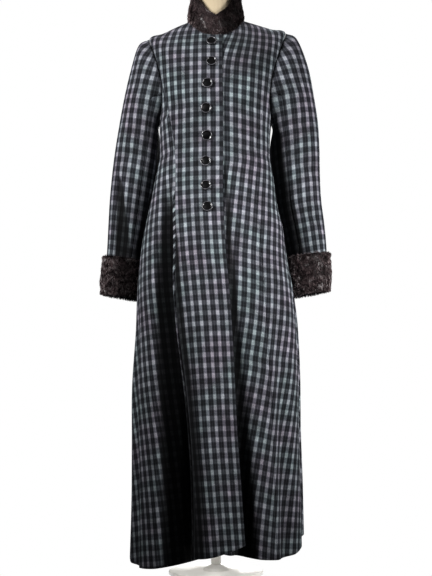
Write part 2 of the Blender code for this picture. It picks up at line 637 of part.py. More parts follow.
def build_form():
    """Make the torso and neck of the dress form as one closed body, with a socket face for the pole."""
    mesh = bmesh.new()
    rings = []
    foot = form_ring(0.0, FORM_RINGS[0].clearance)
    for row in NECK_RINGS:
        ring = []
        for point in foot:
            flat = Vector((point.x, point.y - NECK_CENTRE)).normalized()
            target = Vector((flat.x * NECK_WIDTH, NECK_CENTRE + flat.y * NECK_DEPTH, row.height))
            base = Vector((point.x, point.y, point.z + NECK_FOOT_RISE))
            mixed = base.lerp(target, row.share)
            if row.share < 1.0:
                mixed.z = base.z + (NECK_SLOPE_TOP - base.z) * row.share ** 2
            ring.append(mixed)
        rings.append([mesh.verts.new(point) for point in ring])
    for ring in FORM_RINGS:
        rings.append([mesh.verts.new(point) for point in form_ring(ring.level, ring.clearance)])
    for vert in rings[-1]:
        vert.co.z = FORM_FLOOR
    for upper, lower in zip(rings, rings[1:]):
        for j in range(len(upper)):
            k = (j + 1) % len(upper)
            mesh.faces.new((upper[j], lower[j], lower[k], upper[k]))
    ends = [mesh.faces.new(rings[0]), mesh.faces.new(rings[-1])]
    bmesh.ops.poke(mesh, faces=ends)
    bmesh.ops.recalc_face_normals(mesh, faces=mesh.faces[:])
    made = mesh_object("form_torso", mesh)
    dress(made, FORM_COLOUR, 0.7)


def build_stand():
    """Make the neck cap, the pole and the base plate."""
    centre = (0.0, 0.0)
    cap = turned_object("form_cap", [
        (0.0, NECK_TOP + SEAM_GAP), (NECK_WIDTH - CAP_MARGIN, NECK_TOP + SEAM_GAP),
        (NECK_WIDTH - CAP_MARGIN, NECK_TOP + 0.6 * CAP_HEIGHT), (0.8 * NECK_WIDTH, NECK_TOP + CAP_HEIGHT),
        (0.0, NECK_TOP + CAP_HEIGHT)], 28, (0.0, NECK_CENTRE))
    dress(cap, FORM_COLOUR, 0.5)
    pole = turned_object("stand_pole", [
        (0.0, BASE_HEIGHT + SEAM_GAP), (FLANGE_RADIUS, BASE_HEIGHT + SEAM_GAP),
        (FLANGE_RADIUS - 0.004, BASE_HEIGHT + 0.4 * FLANGE_HEIGHT), (POLE_RADIUS, BASE_HEIGHT + FLANGE_HEIGHT),
        (POLE_RADIUS, FORM_FLOOR - SEAM_GAP), (0.0, FORM_FLOOR - SEAM_GAP)], POLE_SIDES, centre)
    dress(pole, METAL_COLOUR, 0.4, 0.0)
    base = turned_object("stand_base", [
        (0.0, 0.0), (BASE_RADIUS, 0.0), (BASE_RADIUS, BASE_HEIGHT - BASE_BEVEL),
        (BASE_RADIUS - BASE_BEVEL, BASE_HEIGHT), (0.0, BASE_HEIGHT)], BASE_SIDES, centre)
    dress(base, METAL_COLOUR, 0.4, 0.0)


def main():
    """Build the coat and the dress form."""
    for old in list(bpy.data.objects):
        bpy.data.objects.remove(old, do_unlink=True)
    for panel in PANELS:
        build_panel(panel)
    for side, name in ((-1, "right"), (1, "left")):
        build_sleeve(side, "upper_sleeve_" + name, list(UPPER_COLUMNS))
        build_sleeve(side, "under_sleeve_" + name, list(UNDER_COLUMNS))
        build_cuff(side, "cuff_" + name)
    build_collar()
    for index, place in enumerate(BUTTONS, 1):
        build_button(index, place)
    build_form()
    build_stand()


main()
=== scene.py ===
"""Looks of a checked wool coat with fur collar and cuffs, buttoned on a limbless dress form.

The coat's cloth is drawn as thin shells on the same surface as the model's own walls: the tables below give
that surface in metres, as the model's source does. The folds are the model's own, the creases are added here.
Painted shade colours the cloth darker inside deep folds and along some creases, and the fur on one side
of the collar and round part of each cuff.
"""
import logging
import math
from dataclasses import dataclass, field
from enum import Enum
from typing import NamedTuple, Optional, Sequence

import bmesh
import bpy
import numpy as np
from mathutils import Matrix, Vector


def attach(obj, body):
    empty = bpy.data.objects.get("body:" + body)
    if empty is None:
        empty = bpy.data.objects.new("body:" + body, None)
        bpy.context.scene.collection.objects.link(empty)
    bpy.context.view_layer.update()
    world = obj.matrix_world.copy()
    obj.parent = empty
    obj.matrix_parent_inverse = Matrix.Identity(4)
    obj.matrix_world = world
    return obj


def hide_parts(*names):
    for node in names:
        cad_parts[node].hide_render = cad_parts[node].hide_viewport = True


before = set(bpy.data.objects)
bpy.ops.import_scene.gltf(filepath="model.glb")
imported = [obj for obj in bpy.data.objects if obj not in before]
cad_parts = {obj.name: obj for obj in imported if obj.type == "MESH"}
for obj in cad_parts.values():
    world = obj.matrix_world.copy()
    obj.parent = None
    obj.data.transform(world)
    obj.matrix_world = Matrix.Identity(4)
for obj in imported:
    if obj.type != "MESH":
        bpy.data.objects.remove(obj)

Socket = bpy.types.NodeSocket
LOG = logging.getLogger("coat")
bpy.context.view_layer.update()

WALL = 0.002
SEAM_GAP = 0.0003
LAP_GAP = 0.0005
FUR_WALL = 0.006
SHOULDER, ARMHOLE_MIDDLE, ARMPIT, WAIST, HEM = 3, 5, 7, 9, 19
ARMHOLE_SPREAD = 29.0
SHOULDER_RISE = 2.6
LAP_RAMP = 0.030
SPACING_LEVEL = 18.0


def rows(kind: type, values: Sequence[tuple]) -> tuple:
    """Name the values of each row of a table."""
    return tuple(kind(*row) for row in values)


class Level(NamedTuple):
    """A ring of the coat: heights in front, at both sides and behind, half-widths, half-depths and shape."""
    name: str
    z_front: float
    z_right: float
    z_left: float
    z_back: float
    right: float
    left: float
    front: float
    back: float
    shift: float
    square: float


LEVELS = rows(Level, (
    ("neck seam", 1.392, 1.446, 1.449, 1.453, 0.069, 0.069, 0.064, 0.066, 0.000, 1.00),
    ("collar bone", 1.372, 1.431, 1.436, 1.431, 0.103, 0.110, 0.076, 0.080, 0.000, 0.98),
    ("mid shoulder", 1.345, 1.411, 1.423, 1.400, 0.143, 0.150, 0.089, 0.092, 0.000, 0.95),
    ("shoulder point", 1.312, 1.396, 1.413, 1.364, 0.178, 0.186, 0.100, 0.102, 0.000, 0.90),
    ("upper chest", 1.277, 1.336, 1.350, 1.318, 0.172, 0.178, 0.110, 0.106, 0.000, 0.88),
    ("armhole middle", 1.240, 1.277, 1.282, 1.270, 0.163, 0.166, 0.118, 0.106, 0.000, 0.88),
    ("bust", 1.203, 1.220, 1.222, 1.218, 0.155, 0.155, 0.122, 0.103, 0.000, 0.90),
    ("armpit", 1.166, 1.166, 1.166, 1.166, 0.150, 0.147, 0.121, 0.099, 0.000, 0.92),
    ("ribs", 1.120, 1.120, 1.120, 1.120, 0.149, 0.143, 0.114, 0.096, 0.000, 0.95),
    ("waist", 1.070, 1.070, 1.070, 1.070, 0.150, 0.144, 0.108, 0.098, 0.000, 0.98),
    ("high hip", 1.005, 1.005, 1.005, 1.005, 0.162, 0.153, 0.112, 0.114, -0.006, 1.00),
    ("hip", 0.940, 0.940, 0.940, 0.940, 0.174, 0.161, 0.122, 0.134, -0.014, 1.00),
    ("seat", 0.880, 0.880, 0.880, 0.880, 0.186, 0.174, 0.131, 0.150, -0.022, 1.00),
    ("upper thigh", 0.810, 0.810, 0.810, 0.810, 0.196, 0.182, 0.142, 0.164, -0.030, 1.00),
    ("cuff", 0.720, 0.720, 0.720, 0.720, 0.203, 0.197, 0.152, 0.178, -0.034, 1.00),
    ("lower thigh", 0.620, 0.620, 0.620, 0.620, 0.2065, 0.210, 0.164, 0.186, -0.028, 1.00),
    ("knee", 0.480, 0.480, 0.480, 0.480, 0.216, 0.217, 0.186, 0.190, -0.012, 1.00),
    ("calf", 0.340, 0.340, 0.340, 0.340, 0.216, 0.218, 0.201, 0.198, -0.004, 1.00),
    ("shin", 0.200, 0.200, 0.200, 0.200, 0.216, 0.222, 0.211, 0.206, 0.000, 1.00),
    ("hem", 0.060, 0.060, 0.060, 0.060, 0.219, 0.224, 0.216, 0.212, 0.000, 1.00),
))


class FrontSeams(NamedTuple):
    """Where the front seams run at a level: metres from the middle, toward +X."""
    level: float
    princess_right: Optional[float]
    under: float
    lap: float
    princess_left: Optional[float]


FRONT_SEAMS = rows(FrontSeams, (
    (0, None, -0.022, 0.017, None),
    (3, None, -0.050, 0.017, None),
    (5, None, -0.055, 0.017, None),
    (7, -0.120, -0.055, 0.018, 0.117),
    (9, -0.106, -0.054, 0.018, 0.103),
    (11, -0.103, -0.053, 0.018, 0.105),
    (13, -0.101, -0.050, 0.024, 0.112),
    (14, -0.104, -0.042, 0.031, 0.118),
    (15, -0.098, -0.035, 0.038, 0.124),
    (16, -0.080, -0.029, 0.045, 0.132),
    (17, -0.066, -0.023, 0.051, 0.138),
    (18, -0.059, -0.014, 0.060, 0.142),
    (19, -0.058, -0.005, 0.069, 0.146),
))


class OtherSeams(NamedTuple):
    """Where the side and back seams run at a level: degrees round from the front."""
    level: float
    side_right: float
    princess_back_right: float
    side_left: float
    princess_back_left: float


OTHER_SEAMS = rows(OtherSeams, (
    (5, -90, -119, 90, 119),
    (7, -90, -128, 90, 128),
    (9, -90, -136, 90, 136),
    (14, -88, -134, 90, 134),
    (19, -82, -131, 88, 133),
))


class Fold(NamedTuple):
    """A fold pressed into a panel: shares of the panel's width, depth in metres, and levels.

    The last two are the levels between which the fold's painted shade comes in: the cloth inside is coloured
    darker.
    """
    name: str
    panel: str
    middle: float
    half_start: float
    half_hem: float
    depth: float
    start: float
    full: float
    steep: float
    shade_start: float = 11.0
    shade_full: float = 14.0


FOLDS = rows(Fold, (
    ("deep fold", "side_front_right", 0.20, 0.15, 0.19, 0.070, 9.7, 14.0, 2.5, 10.3, 11.4),
    ("deep throat", "side_front_right", 0.14, 0.10, 0.13, 0.090, 11.0, 16.0, 2, 10.3, 11.4),
    ("side roll", "side_front_right", 0.00, 0.08, 0.10, 0.018, 11.5, 18.0, 2, 11.0, 12.0),
    ("front roll", "front_right", 1.00, 0.30, 0.36, 0.018, 11.5, 18.0, 1, 12.0, 16.0),
    ("lobe hollow", "side_front_right", 0.78, 0.10, 0.14, 0.012, 13.0, 18.0, 2, 20.0, 21.0),
    ("lap hollow", "front_left", 0.47, 0.24, 0.27, 0.052, 13.5, 19.0, 2, 15.3, 17.6),
    ("front swell", "front_right", 0.62, 0.25, 0.25, -0.007, 12.0, 18.0, 2),
    ("side hollow", "side_front_left", 0.22, 0.16, 0.20, 0.013, 13.5, 18.5, 2, 16.0, 24.0),
    ("side break", "side_front_left", 0.82, 0.10, 0.15, 0.012, 12.0, 18.0, 3, 20.0, 21.0),
    ("side pleat right", "side_back_right", 0.42, 0.18, 0.24, 0.055, 10.5, 17.0, 3),
    ("side pleat left", "side_back_left", 0.52, 0.18, 0.26, 0.062, 10.2, 16.5, 3),
    ("back pleat right", "back_right", 0.50, 0.20, 0.27, 0.050, 10.4, 17.5, 3),
    ("back pleat left", "back_left", 0.42, 0.18, 0.24, 0.058, 10.2, 17.0, 3),
))


class Grain(NamedTuple):
    """How a piece's check lies: the share of its width where the grain runs, its shift and lean.

    A piece that follows another one takes up its check at their shared seam.
    """
    share: float
    across: float
    lean: float
    fan: float = 0.0
    follows: str = ""


class PanelCut(NamedTuple):
    """A cut piece of the body: its two edges, first level, hem rises and grain."""
    name: str
    edge_a: str
    edge_b: str
    first: int
    rise_a: float
    rise_mid: float
    rise_b: float
    grain: Grain


PANELS = (
    PanelCut("front_right", "lap", "front_edge_right", 0, 0.036, 0.013, 0.002,
             Grain(0.0, -0.009, 0.0, 0.28)),
    PanelCut("front_left", "under", "front_edge_left", 0, 0.022, 0.005, -0.004,
             Grain(0.0, 0.0, 0.115)),
    PanelCut("side_front_right", "princess_right", "side_right", 5, 0.002, -0.028, -0.022,
             Grain(0.42, 0.0, 0.12)),
    PanelCut("side_front_left", "princess_left", "side_left", 5, -0.004, 0.006, 0.042,
             Grain(0.0, 0.0, 0.05, 0.0, "front_left")),
    PanelCut("side_back_right", "side_right", "princess_back_right", 5, -0.022, 0.004, 0.008,
             Grain(0.5, 0.0, 0.0)),
    PanelCut("side_back_left", "side_left", "princess_back_left", 5, 0.042, 0.020, 0.008,
             Grain(0.5, 0.0, 0.0)),
    PanelCut("back_right", "back_edge_right", "centre_back_right", 0, 0.008, 0.004, 0.010,
             Grain(1.0, 0.0, 0.0)),
    PanelCut("back_left", "back_edge_left", "centre_back_left", 0, 0.008, 0.012, 0.010,
             Grain(1.0, 0.0, 0.0)),
)


class Crease(NamedTuple):
    """A soft trough (or a ridge, where its depth is negative) along a bent line over a piece.

    The start, bend and end are (share, level) on a panel and (turn in degrees, ring) on a sleeve. A flared
    crease opens from a point at its start and keeps its strength at its end. Its shade is painted shade along
    it.
    """
    start: tuple[float, float]
    bend: tuple[float, float]
    end: tuple[float, float]
    width: float
    depth: float
    shade: float = 0.0
    flare: float = 0.0


# A crease's shade is painted shade: the cloth is coloured darker along it. Creases of depth 0.0 are painted
# shade only.
CREASES = {
    "front_right": (
        Crease((0.95, 6.2), (0.70, 6.6), (0.45, 6.7), 0.016, 0.0022),
        Crease((0.80, 8.5), (0.55, 8.9), (0.30, 9.0), 0.012, 0.0018),
        Crease((0.98, 9.4), (0.60, 9.8), (0.35, 10.3), 0.014, 0.0020),
        Crease((0.15, 12.5), (0.20, 15.0), (0.22, 18.5), 0.022, 0.0030),
        Crease((0.86, 12.0), (0.88, 15.0), (0.84, 19.0), 0.018, -0.0030),
        Crease((1.00, 11.9), (1.00, 15.0), (1.00, 19.0), 0.042, 0.0, 0.97, 0.86),
    ),
    "front_left": (
        Crease((0.462, 9.2), (0.482, 12.2), (0.490, 15.6), 0.0130, 0.003, 1.0, 0.70),
        Crease((0.488, 14.6), (0.496, 16.6), (0.505, 19.0), 0.0300, 0.001, 0.97, 0.72),
        Crease((0.45, 0.4), (0.50, 2.5), (0.50, 4.6), 0.055, 0.0, 0.40),
        Crease((0.95, 6.4), (0.75, 6.7), (0.55, 6.8), 0.016, 0.0022),
        Crease((0.95, 8.7), (0.75, 9.0), (0.52, 9.1), 0.012, 0.0020),
        Crease((0.90, 9.6), (0.72, 9.9), (0.58, 10.6), 0.014, 0.0018),
        Crease((0.92, 12.0), (0.94, 15.0), (0.90, 19.0), 0.020, -0.0030),
    ),
    "side_front_right": (
        Crease((0.10, 8.8), (0.5, 9.1), (0.95, 8.9), 0.010, 0.0018),
    ),
    "side_front_left": (
        Crease((0.08, 8.8), (0.5, 9.2), (0.95, 8.9), 0.010, 0.0020),
        Crease((0.50, 14.0), (0.56, 16.5), (0.52, 19.0), 0.024, -0.0040),
    ),
    "side_back_right": (
        Crease((0.10, 8.8), (0.5, 9.2), (0.9, 8.9), 0.011, 0.0020),
    ),
    "side_back_left": (
        Crease((0.10, 8.9), (0.5, 9.1), (0.9, 9.0), 0.011, 0.0020),
    ),
    "back_right": (
        Crease((0.05, 8.6), (0.5, 9.1), (0.9, 9.0), 0.013, 0.0024),
        Crease((0.20, 4.0), (0.5, 5.0), (0.8, 5.2), 0.018, 0.0020),
    ),
    "back_left": (
        Crease((0.05, 8.7), (0.5, 9.2), (0.9, 9.1), 0.013, 0.0022),
        Crease((0.15, 4.2), (0.5, 5.1), (0.8, 5.6), 0.018, 0.0020),
    ),
    "right": (
        Crease((48, 5.7), (71, 7.9), (95, 10.0), 0.034, 0.0080, 1.0, 0.86),
        Crease((152, 6.0), (146, 7.8), (140, 10.0), 0.034, 0.0040, 1.0, 0.75),
        Crease((166, 1.6), (162, 4.0), (156, 7.0), 0.015, 0.0030, 0.9),
        Crease((130, 2.6), (95, 3.1), (60, 4.4), 0.014, 0.0035, 0.25),
        Crease((125, 4.4), (90, 4.7), (50, 5.4), 0.013, 0.0035, 0.20),
        Crease((-100, 4.4), (-60, 4.6), (-20, 5.4), 0.014, 0.0045, 0.30),
        Crease((-110, 3.2), (-70, 3.6), (-30, 4.6), 0.015, 0.0045, 0.30),
    ),
    "left": (
        Crease((162, 1.0), (152, 5.0), (140, 10.0), 0.048, 0.0050, 1.0, 0.25),
        Crease((112, 3.0), (85, 3.4), (50, 4.4), 0.014, 0.0035, 0.25),
        Crease((105, 5.0), (75, 5.4), (35, 6.2), 0.014, 0.0035, 0.25),
        Crease((95, 7.4), (65, 7.5), (30, 8.0), 0.012, 0.0025, 0.20),
        Crease((-100, 4.3), (-60, 4.6), (-20, 5.5), 0.014, 0.0045, 0.30),
        Crease((-110, 3.2), (-70, 3.7), (-30, 4.5), 0.015, 0.0045, 0.30),
    ),
}


class SleeveRing(NamedTuple):
    """A ring of a sleeve: inner and outer points in XZ (X away from the body), mid Y and half-depth."""
    x_in: float
    z_in: float
    x_out: float
    z_out: float
    y: float
    depth: float


RIGHT_SLEEVE = rows(SleeveRing, (
    (0.1525, 1.152, 0.207, 1.379, 0.002, 0.066),
    (0.1503, 1.140, 0.229, 1.310, 0.010, 0.067),
    (0.1486, 1.122, 0.246, 1.238, 0.018, 0.065),
    (0.1475, 1.096, 0.259, 1.168, 0.026, 0.062),
    (0.1500, 1.050, 0.270, 1.100, 0.032, 0.059),
    (0.1580, 0.995, 0.278, 1.035, 0.037, 0.057),
    (0.1670, 0.935, 0.284, 0.966, 0.041, 0.055),
    (0.1780, 0.872, 0.288, 0.895, 0.049, 0.053),
    (0.1880, 0.805, 0.292, 0.822, 0.058, 0.052),
    (0.197, 0.705, 0.299, 0.722, 0.066, 0.053),
))
LEFT_SLEEVE = rows(SleeveRing, (
    (0.1482, 1.154, 0.2165, 1.398, 0.003, 0.066),
    (0.1464, 1.142, 0.246, 1.325, 0.010, 0.067),
    (0.1430, 1.124, 0.262, 1.246, 0.018, 0.065),
    (0.1412, 1.098, 0.273, 1.175, 0.026, 0.062),
    (0.1435, 1.052, 0.277, 1.106, 0.032, 0.059),
    (0.1500, 0.998, 0.278, 1.040, 0.037, 0.057),
    (0.1560, 0.940, 0.281, 0.972, 0.041, 0.055),
    (0.1700, 0.880, 0.290, 0.902, 0.048, 0.053),
    (0.1840, 0.815, 0.296, 0.832, 0.056, 0.052),
    (0.193, 0.712, 0.298, 0.732, 0.064, 0.053),
))
SEAM_TURN = 112.5
CUFF_START, CUFF_END = 9.05, 10.0
CUFF_ROLL = 0.0045


class CollarEdge(NamedTuple):
    """The collar's top edge at an angle round from the front: its rise over the neck seam and its lean."""
    angle: float
    rise: float
    lean: float


COLLAR_EDGE = rows(CollarEdge, (
    (0, 0.050, 0.004), (25, 0.068, 0.004), (50, 0.082, 0.006),
    (70, 0.072, 0.009), (90, 0.058, 0.009), (130, 0.054, 0.007),
    (180, 0.056, 0.005),
))


class ButtonPlace(NamedTuple):
    """Where a button's middle lies on the coat's front."""
    x: float
    z: float


BUTTONS = rows(ButtonPlace, (
    (-0.0118, 1.368), (-0.0116, 1.308), (-0.0218, 1.243),
    (-0.0242, 1.177), (-0.0229, 1.109), (-0.0254, 1.041),
    (-0.0252, 0.975), (-0.0212, 0.918),
))


class Slot(Enum):
    """Names of the material slots."""
    WOOL = "wool_check"
    FUR = "fur"
    HORN = "horn"
    FORM = "form_cover"
    METAL = "stand_metal"


def linear(hex_colour: str) -> tuple[float, float, float, float]:
    """Turn an sRGB hex colour to linear light.

    Args:
        hex_colour: Six hexadecimal digits.

    Returns:
        Red, green, blue and an alpha of 1.
    """
    channels = [int(hex_colour[i:i + 2], 16) / 255.0 for i in (0, 2, 4)]
    return (*(c / 12.92 if c <= 0.04045 else ((c + 0.055) / 1.055) ** 2.4 for c in channels), 1.0)


def add_node(tree: bpy.types.NodeTree, kind: str, inputs: Optional[dict] = None,
             **settings) -> bpy.types.Node:
    """Add a node with its settings, values and links.

    Args:
        tree: The node tree.
        kind: The node's type name.
        inputs: Values, or sockets to link, for each input by name or number.
        **settings: Properties of the node.

    Returns:
        The new node.
    """
    node = tree.nodes.new(kind)
    for name, value in settings.items():
        setattr(node, name, value)
    for name, value in (inputs or {}).items():
        if isinstance(value, bpy.types.NodeSocket):
            tree.links.new(value, node.inputs[name])
        else:
            node.inputs[name].default_value = value
    return node


def smooth(value: np.ndarray) -> np.ndarray:
    """Ease values between 0 and 1."""
    value = np.clip(value, 0.0, 1.0)
    return value * value * (3.0 - 2.0 * value)


def hermite(start: np.ndarray, end: np.ndarray, slope_0: np.ndarray, slope_1: np.ndarray,
            share: np.ndarray) -> np.ndarray:
    """Blend two values smoothly, from their own slopes over the span between them."""
    rest = 1.0 - share
    return (start * (1 + 2 * share) * rest ** 2 + slope_0 * share * rest ** 2
            + end * share ** 2 * (3 - 2 * share) - slope_1 * share ** 2 * rest)


def curve_value(knots: Sequence[tuple[float, float]], place: np.ndarray) -> np.ndarray:
    """Read a smooth curve through (place, value) knots, level beyond its ends.

    Args:
        knots: The knots in order.
        place: Where to read the curve.

    Returns:
        The curve's values.
    """
    xs = np.array([knot[0] for knot in knots], dtype=float)
    ys = np.array([knot[1] for knot in knots], dtype=float)
    place = np.clip(place, xs[0], xs[-1])
    i = np.clip(np.searchsorted(xs, place, side="right") - 1, 0, len(xs) - 2)
    before, after = np.maximum(i - 1, 0), np.minimum(i + 2, len(xs) - 1)
    slope_0 = (ys[i + 1] - ys[before]) / (xs[i + 1] - xs[before])
    slope_1 = (ys[after] - ys[i]) / (xs[after] - xs[i])
    span = xs[i + 1] - xs[i]
    return hermite(ys[i], ys[i + 1], slope_0 * span, slope_1 * span, (place - xs[i]) / span)


def unit(vectors: np.ndarray) -> np.ndarray:
    """Scale vectors to a length of 1."""
    return vectors / np.maximum(np.linalg.norm(vectors, axis=-1, keepdims=True), 1e-9)


class CoatSurface:
    """The outer surface of the coat's body, the same one that the model's walls lie on."""

    @staticmethod
    def level_value(column: str, level: np.ndarray) -> np.ndarray:
        """Read one column of the LEVELS table at fractional levels."""
        return curve_value([(i, getattr(row, column)) for i, row in enumerate(LEVELS)], level)

    def either(self, first: np.ndarray, column: str, other: str, level: np.ndarray) -> np.ndarray:
        """One column of the levels where a condition holds, and another elsewhere."""
        return np.where(first, self.level_value(column, level), self.level_value(other, level))

    @staticmethod
    def armhole_angle(level: np.ndarray) -> np.ndarray:
        """Half the armhole's angle: zero at the shoulder point and at the armpit."""
        share = (level - ARMHOLE_MIDDLE) / (ARMPIT - ARMHOLE_MIDDLE)
        return ARMHOLE_SPREAD * np.sqrt(np.maximum(0.0, 1.0 - share * share))

    def front_angle(self, column: str, level: np.ndarray) -> np.ndarray:
        """The angle of a front seam, from its distance to the middle."""
        knots = [(row.level, getattr(row, column)) for row in FRONT_SEAMS if getattr(row, column) is not None]
        if column.startswith("princess"):
            side = "right" if column.endswith("right") else "left"
            width = getattr(LEVELS[ARMHOLE_MIDDLE], side)
            start = width * math.sin(math.radians(90.0 - ARMHOLE_SPREAD))
            knots.insert(0, (ARMHOLE_MIDDLE, -start if side == "right" else start))
        distance = curve_value(knots, level)
        width = self.either(distance < 0, "right", "left", level)
        return np.degrees(np.arcsin(distance / width))

    def edge_angle(self, edge: str, level: np.ndarray) -> np.ndarray:
        """The angle of a panel's edge.

        Args:
            edge: The edge's name.
            level: Fractional levels.

        Returns:
            Degrees round from the front.
        """
        side = -1 if edge.endswith("right") else 1
        if edge in ("lap", "under"):
            return self.front_angle(edge, level)
        if edge.startswith("centre_back"):
            return np.full_like(level, side * 180.0)
        if edge.startswith(("front_edge", "back_edge")):
            turn = -1 if edge.startswith("front") else 1
            seam = ("princess_" if turn < 0 else "princess_back_") + ("right" if side < 0 else "left")
            above = np.where(level <= SHOULDER, side * 90.0, side * (90.0 + turn * self.armhole_angle(level)))
            return np.where(level <= ARMHOLE_MIDDLE, above, self.edge_angle(seam, level))
        if edge.startswith("princess") and "back" not in edge:
            return self.front_angle(edge, level)
        return curve_value([(row.level, getattr(row, edge)) for row in OTHER_SEAMS], level)

    def panel_angle(self, panel: PanelCut, share: np.ndarray, level: np.ndarray) -> np.ndarray:
        """The angle at a share of a panel's width. Side panels end at the armhole above the armpit."""
        first, last = self.edge_angle(panel.edge_a, level), self.edge_angle(panel.edge_b, level)
        if panel.edge_a.startswith("side_"):
            first = first + np.copysign(self.armhole_angle(level), first)
        if panel.edge_b.startswith("side_"):
            last = last - np.copysign(self.armhole_angle(level), last)
        return first + (last - first) * share

    @staticmethod
    def fold_depth(panel: PanelCut, share: np.ndarray, level: np.ndarray,
                   folds: Sequence[Fold] = FOLDS) -> np.ndarray:
        """How far the folds press a panel inward."""
        depth = np.zeros(np.broadcast(share, level).shape)
        for fold in folds:
            if fold.panel != panel.name:
                continue
            reach = np.clip((level - fold.start) / (HEM - fold.start), 0.0, 1.0)
            half = fold.half_start + (fold.half_hem - fold.half_start) * reach
            offset = np.minimum(np.abs(share - fold.middle) / half, 1.0)
            grown = smooth((level - fold.start) / (fold.full - fold.start))
            depth = depth + fold.depth * grown * (1.0 - offset ** fold.steep) ** 2
        return depth

    @staticmethod
    def fold_shade(panel: PanelCut, share: np.ndarray, level: np.ndarray, start: float,
                   span: float) -> np.ndarray:
        """How dark the painted shade in the folds of a panel is, from 0 to 1.

        Args:
            panel: The panel's cut.
            share: Shares of its width.
            level: Fractional levels.
            start: How deep a fold is where its shade begins.
            span: How much deeper it is where the shade is full.

        Returns:
            The shade at each place.
        """
        shade = np.zeros(np.broadcast(share, level).shape)
        for fold in FOLDS:
            pressed = CoatSurface.fold_depth(panel, share, level, (fold,))
            grown = smooth((level - fold.shade_start) / (fold.shade_full - fold.shade_start))
            shade = np.maximum(shade, grown * smooth((pressed - start) / span))
        return shade

    def ring_point(self, angle: np.ndarray, level: np.ndarray, inward: np.ndarray = 0.0,
                   lift: np.ndarray = 0.0) -> np.ndarray:
        """A point of the plain surface, before the creases.

        Args:
            angle: Degrees round from the front.
            level: Fractional levels.
            inward: How far the point moves toward the middle.
            lift: How far it moves up.

        Returns:
            Points, with their coordinates along the last axis.
        """
        turn = np.radians(angle)
        sine, cosine = np.sin(turn), np.cos(turn)
        width = self.either(sine < 0, "right", "left", level)
        depth = self.either(cosine > 0, "front", "back", level)
        x = width * sine
        y = -np.sign(cosine) * depth * np.abs(cosine) ** self.level_value("square", level)
        z_side = self.either(sine < 0, "z_right", "z_left", level)
        z_end = self.either(cosine > 0, "z_front", "z_back", level)
        radius = np.hypot(x, y)
        keep = (radius - inward) / radius
        return np.stack([x * keep, y * keep + self.level_value("shift", level),
                         z_end + (z_side - z_end) * np.abs(sine) ** SHOULDER_RISE + lift], axis=-1)

    def point(self, panel: PanelCut, share: np.ndarray, level: np.ndarray) -> np.ndarray:
        """A point of a panel's outer surface, with its folds and its hem's rise."""
        bow = panel.rise_mid - 0.5 * (panel.rise_a + panel.rise_b)
        rise = panel.rise_a + (panel.rise_b - panel.rise_a) * share + bow * 4.0 * share * (1.0 - share)
        rise = rise * np.maximum(0.0, (level - WAIST) / (HEM - WAIST)) ** 2
        return self.ring_point(self.panel_angle(panel, share, level), level,
                               self.fold_depth(panel, share, level), rise)

    def normal(self, panel: PanelCut, share: np.ndarray, level: np.ndarray,
               step: float = 0.004) -> np.ndarray:
        """The outward normal, from two short steps over the surface."""
        a, b = np.clip(share - step, 0.0, 1.0), np.clip(share + step, 0.0, 1.0)
        low, high = np.maximum(panel.first + 0.02, level - step * 4), np.minimum(HEM, level + step * 4)
        across = self.point(panel, b, level) - self.point(panel, a, level)
        down = self.point(panel, share, high) - self.point(panel, share, low)
        normal = unit(np.cross(across, down))
        outward = self.point(panel, share, level) * np.array([1.0, 1.0, 0.0])
        return normal * np.sign(np.sum(normal * outward))

    def lap_lift(self, panel: PanelCut, share: np.ndarray, level: np.ndarray) -> np.ndarray:
        """How far the lapping front stands off, so that it lies over the front beneath it."""
        if panel.name != "front_right":
            return np.zeros(np.broadcast(share, level).shape)
        under = curve_value([(row.level, row.under) for row in FRONT_SEAMS], level)
        distance = self.point(panel, share, level)[..., 0] - under
        return (WALL + LAP_GAP) * smooth(distance / LAP_RAMP + 1.0)


class SleeveSurface:
    """The outer surface of one sleeve, from the armhole to the wrist."""

    def __init__(self, side: int, body: CoatSurface) -> None:
        """Keep the sleeve's side, -1 for the wearer's right, and the body that it is set into."""
        self.side = side
        self.body = body
        self.rings = RIGHT_SLEEVE if side < 0 else LEFT_SLEEVE

    def point(self, turn: np.ndarray, ring: np.ndarray) -> np.ndarray:
        """A point of the sleeve.

        Args:
            turn: Radians round the sleeve from its top, forward.
            ring: Fractional ring, 0 at the armhole.

        Returns:
            Points, with their coordinates along the last axis.
        """
        turn, ring = np.broadcast_arrays(np.asarray(turn, dtype=float), np.asarray(ring, dtype=float))
        angle = self.side * (90.0 - ARMHOLE_SPREAD * np.sin(turn))
        level = ARMHOLE_MIDDLE - (ARMPIT - ARMHOLE_MIDDLE) * np.cos(turn)
        knots = [self.body.ring_point(angle, level)]
        for row in self.rings:
            middle = np.array([self.side * (row.x_in + row.x_out) / 2, row.y, (row.z_in + row.z_out) / 2])
            reach = np.array([self.side * (row.x_out - row.x_in) / 2, 0.0, (row.z_out - row.z_in) / 2])
            knots.append(middle + reach * np.cos(turn)[..., None]
                         - np.array([0.0, row.depth, 0.0]) * np.sin(turn)[..., None])
        line = np.stack(knots)
        i = np.clip(ring.astype(int), 0, len(knots) - 2)
        pick = lambda index: np.take_along_axis(line, index[None, ..., None], axis=0)[0]
        before, after = np.maximum(i - 1, 0), np.minimum(i + 2, len(knots) - 1)
        y0, y1 = pick(i), pick(i + 1)
        slope_0 = (y1 - pick(before)) / (i + 1 - before)[..., None]
        slope_1 = (pick(after) - y0) / (after - i)[..., None]
        return hermite(y0, y1, slope_0, slope_1, (ring - i)[..., None])

    def normal(self, turn: np.ndarray, ring: np.ndarray, step: float = 0.02) -> np.ndarray:
        """The sleeve's outward normal."""
        low, high = np.maximum(0.0, ring - step), np.minimum(CUFF_END, ring + step)
        across = self.point(turn + step, ring) - self.point(turn - step, ring)
        along = self.point(turn, high) - self.point(turn, low)
        return unit(np.cross(across, along)) * self.side


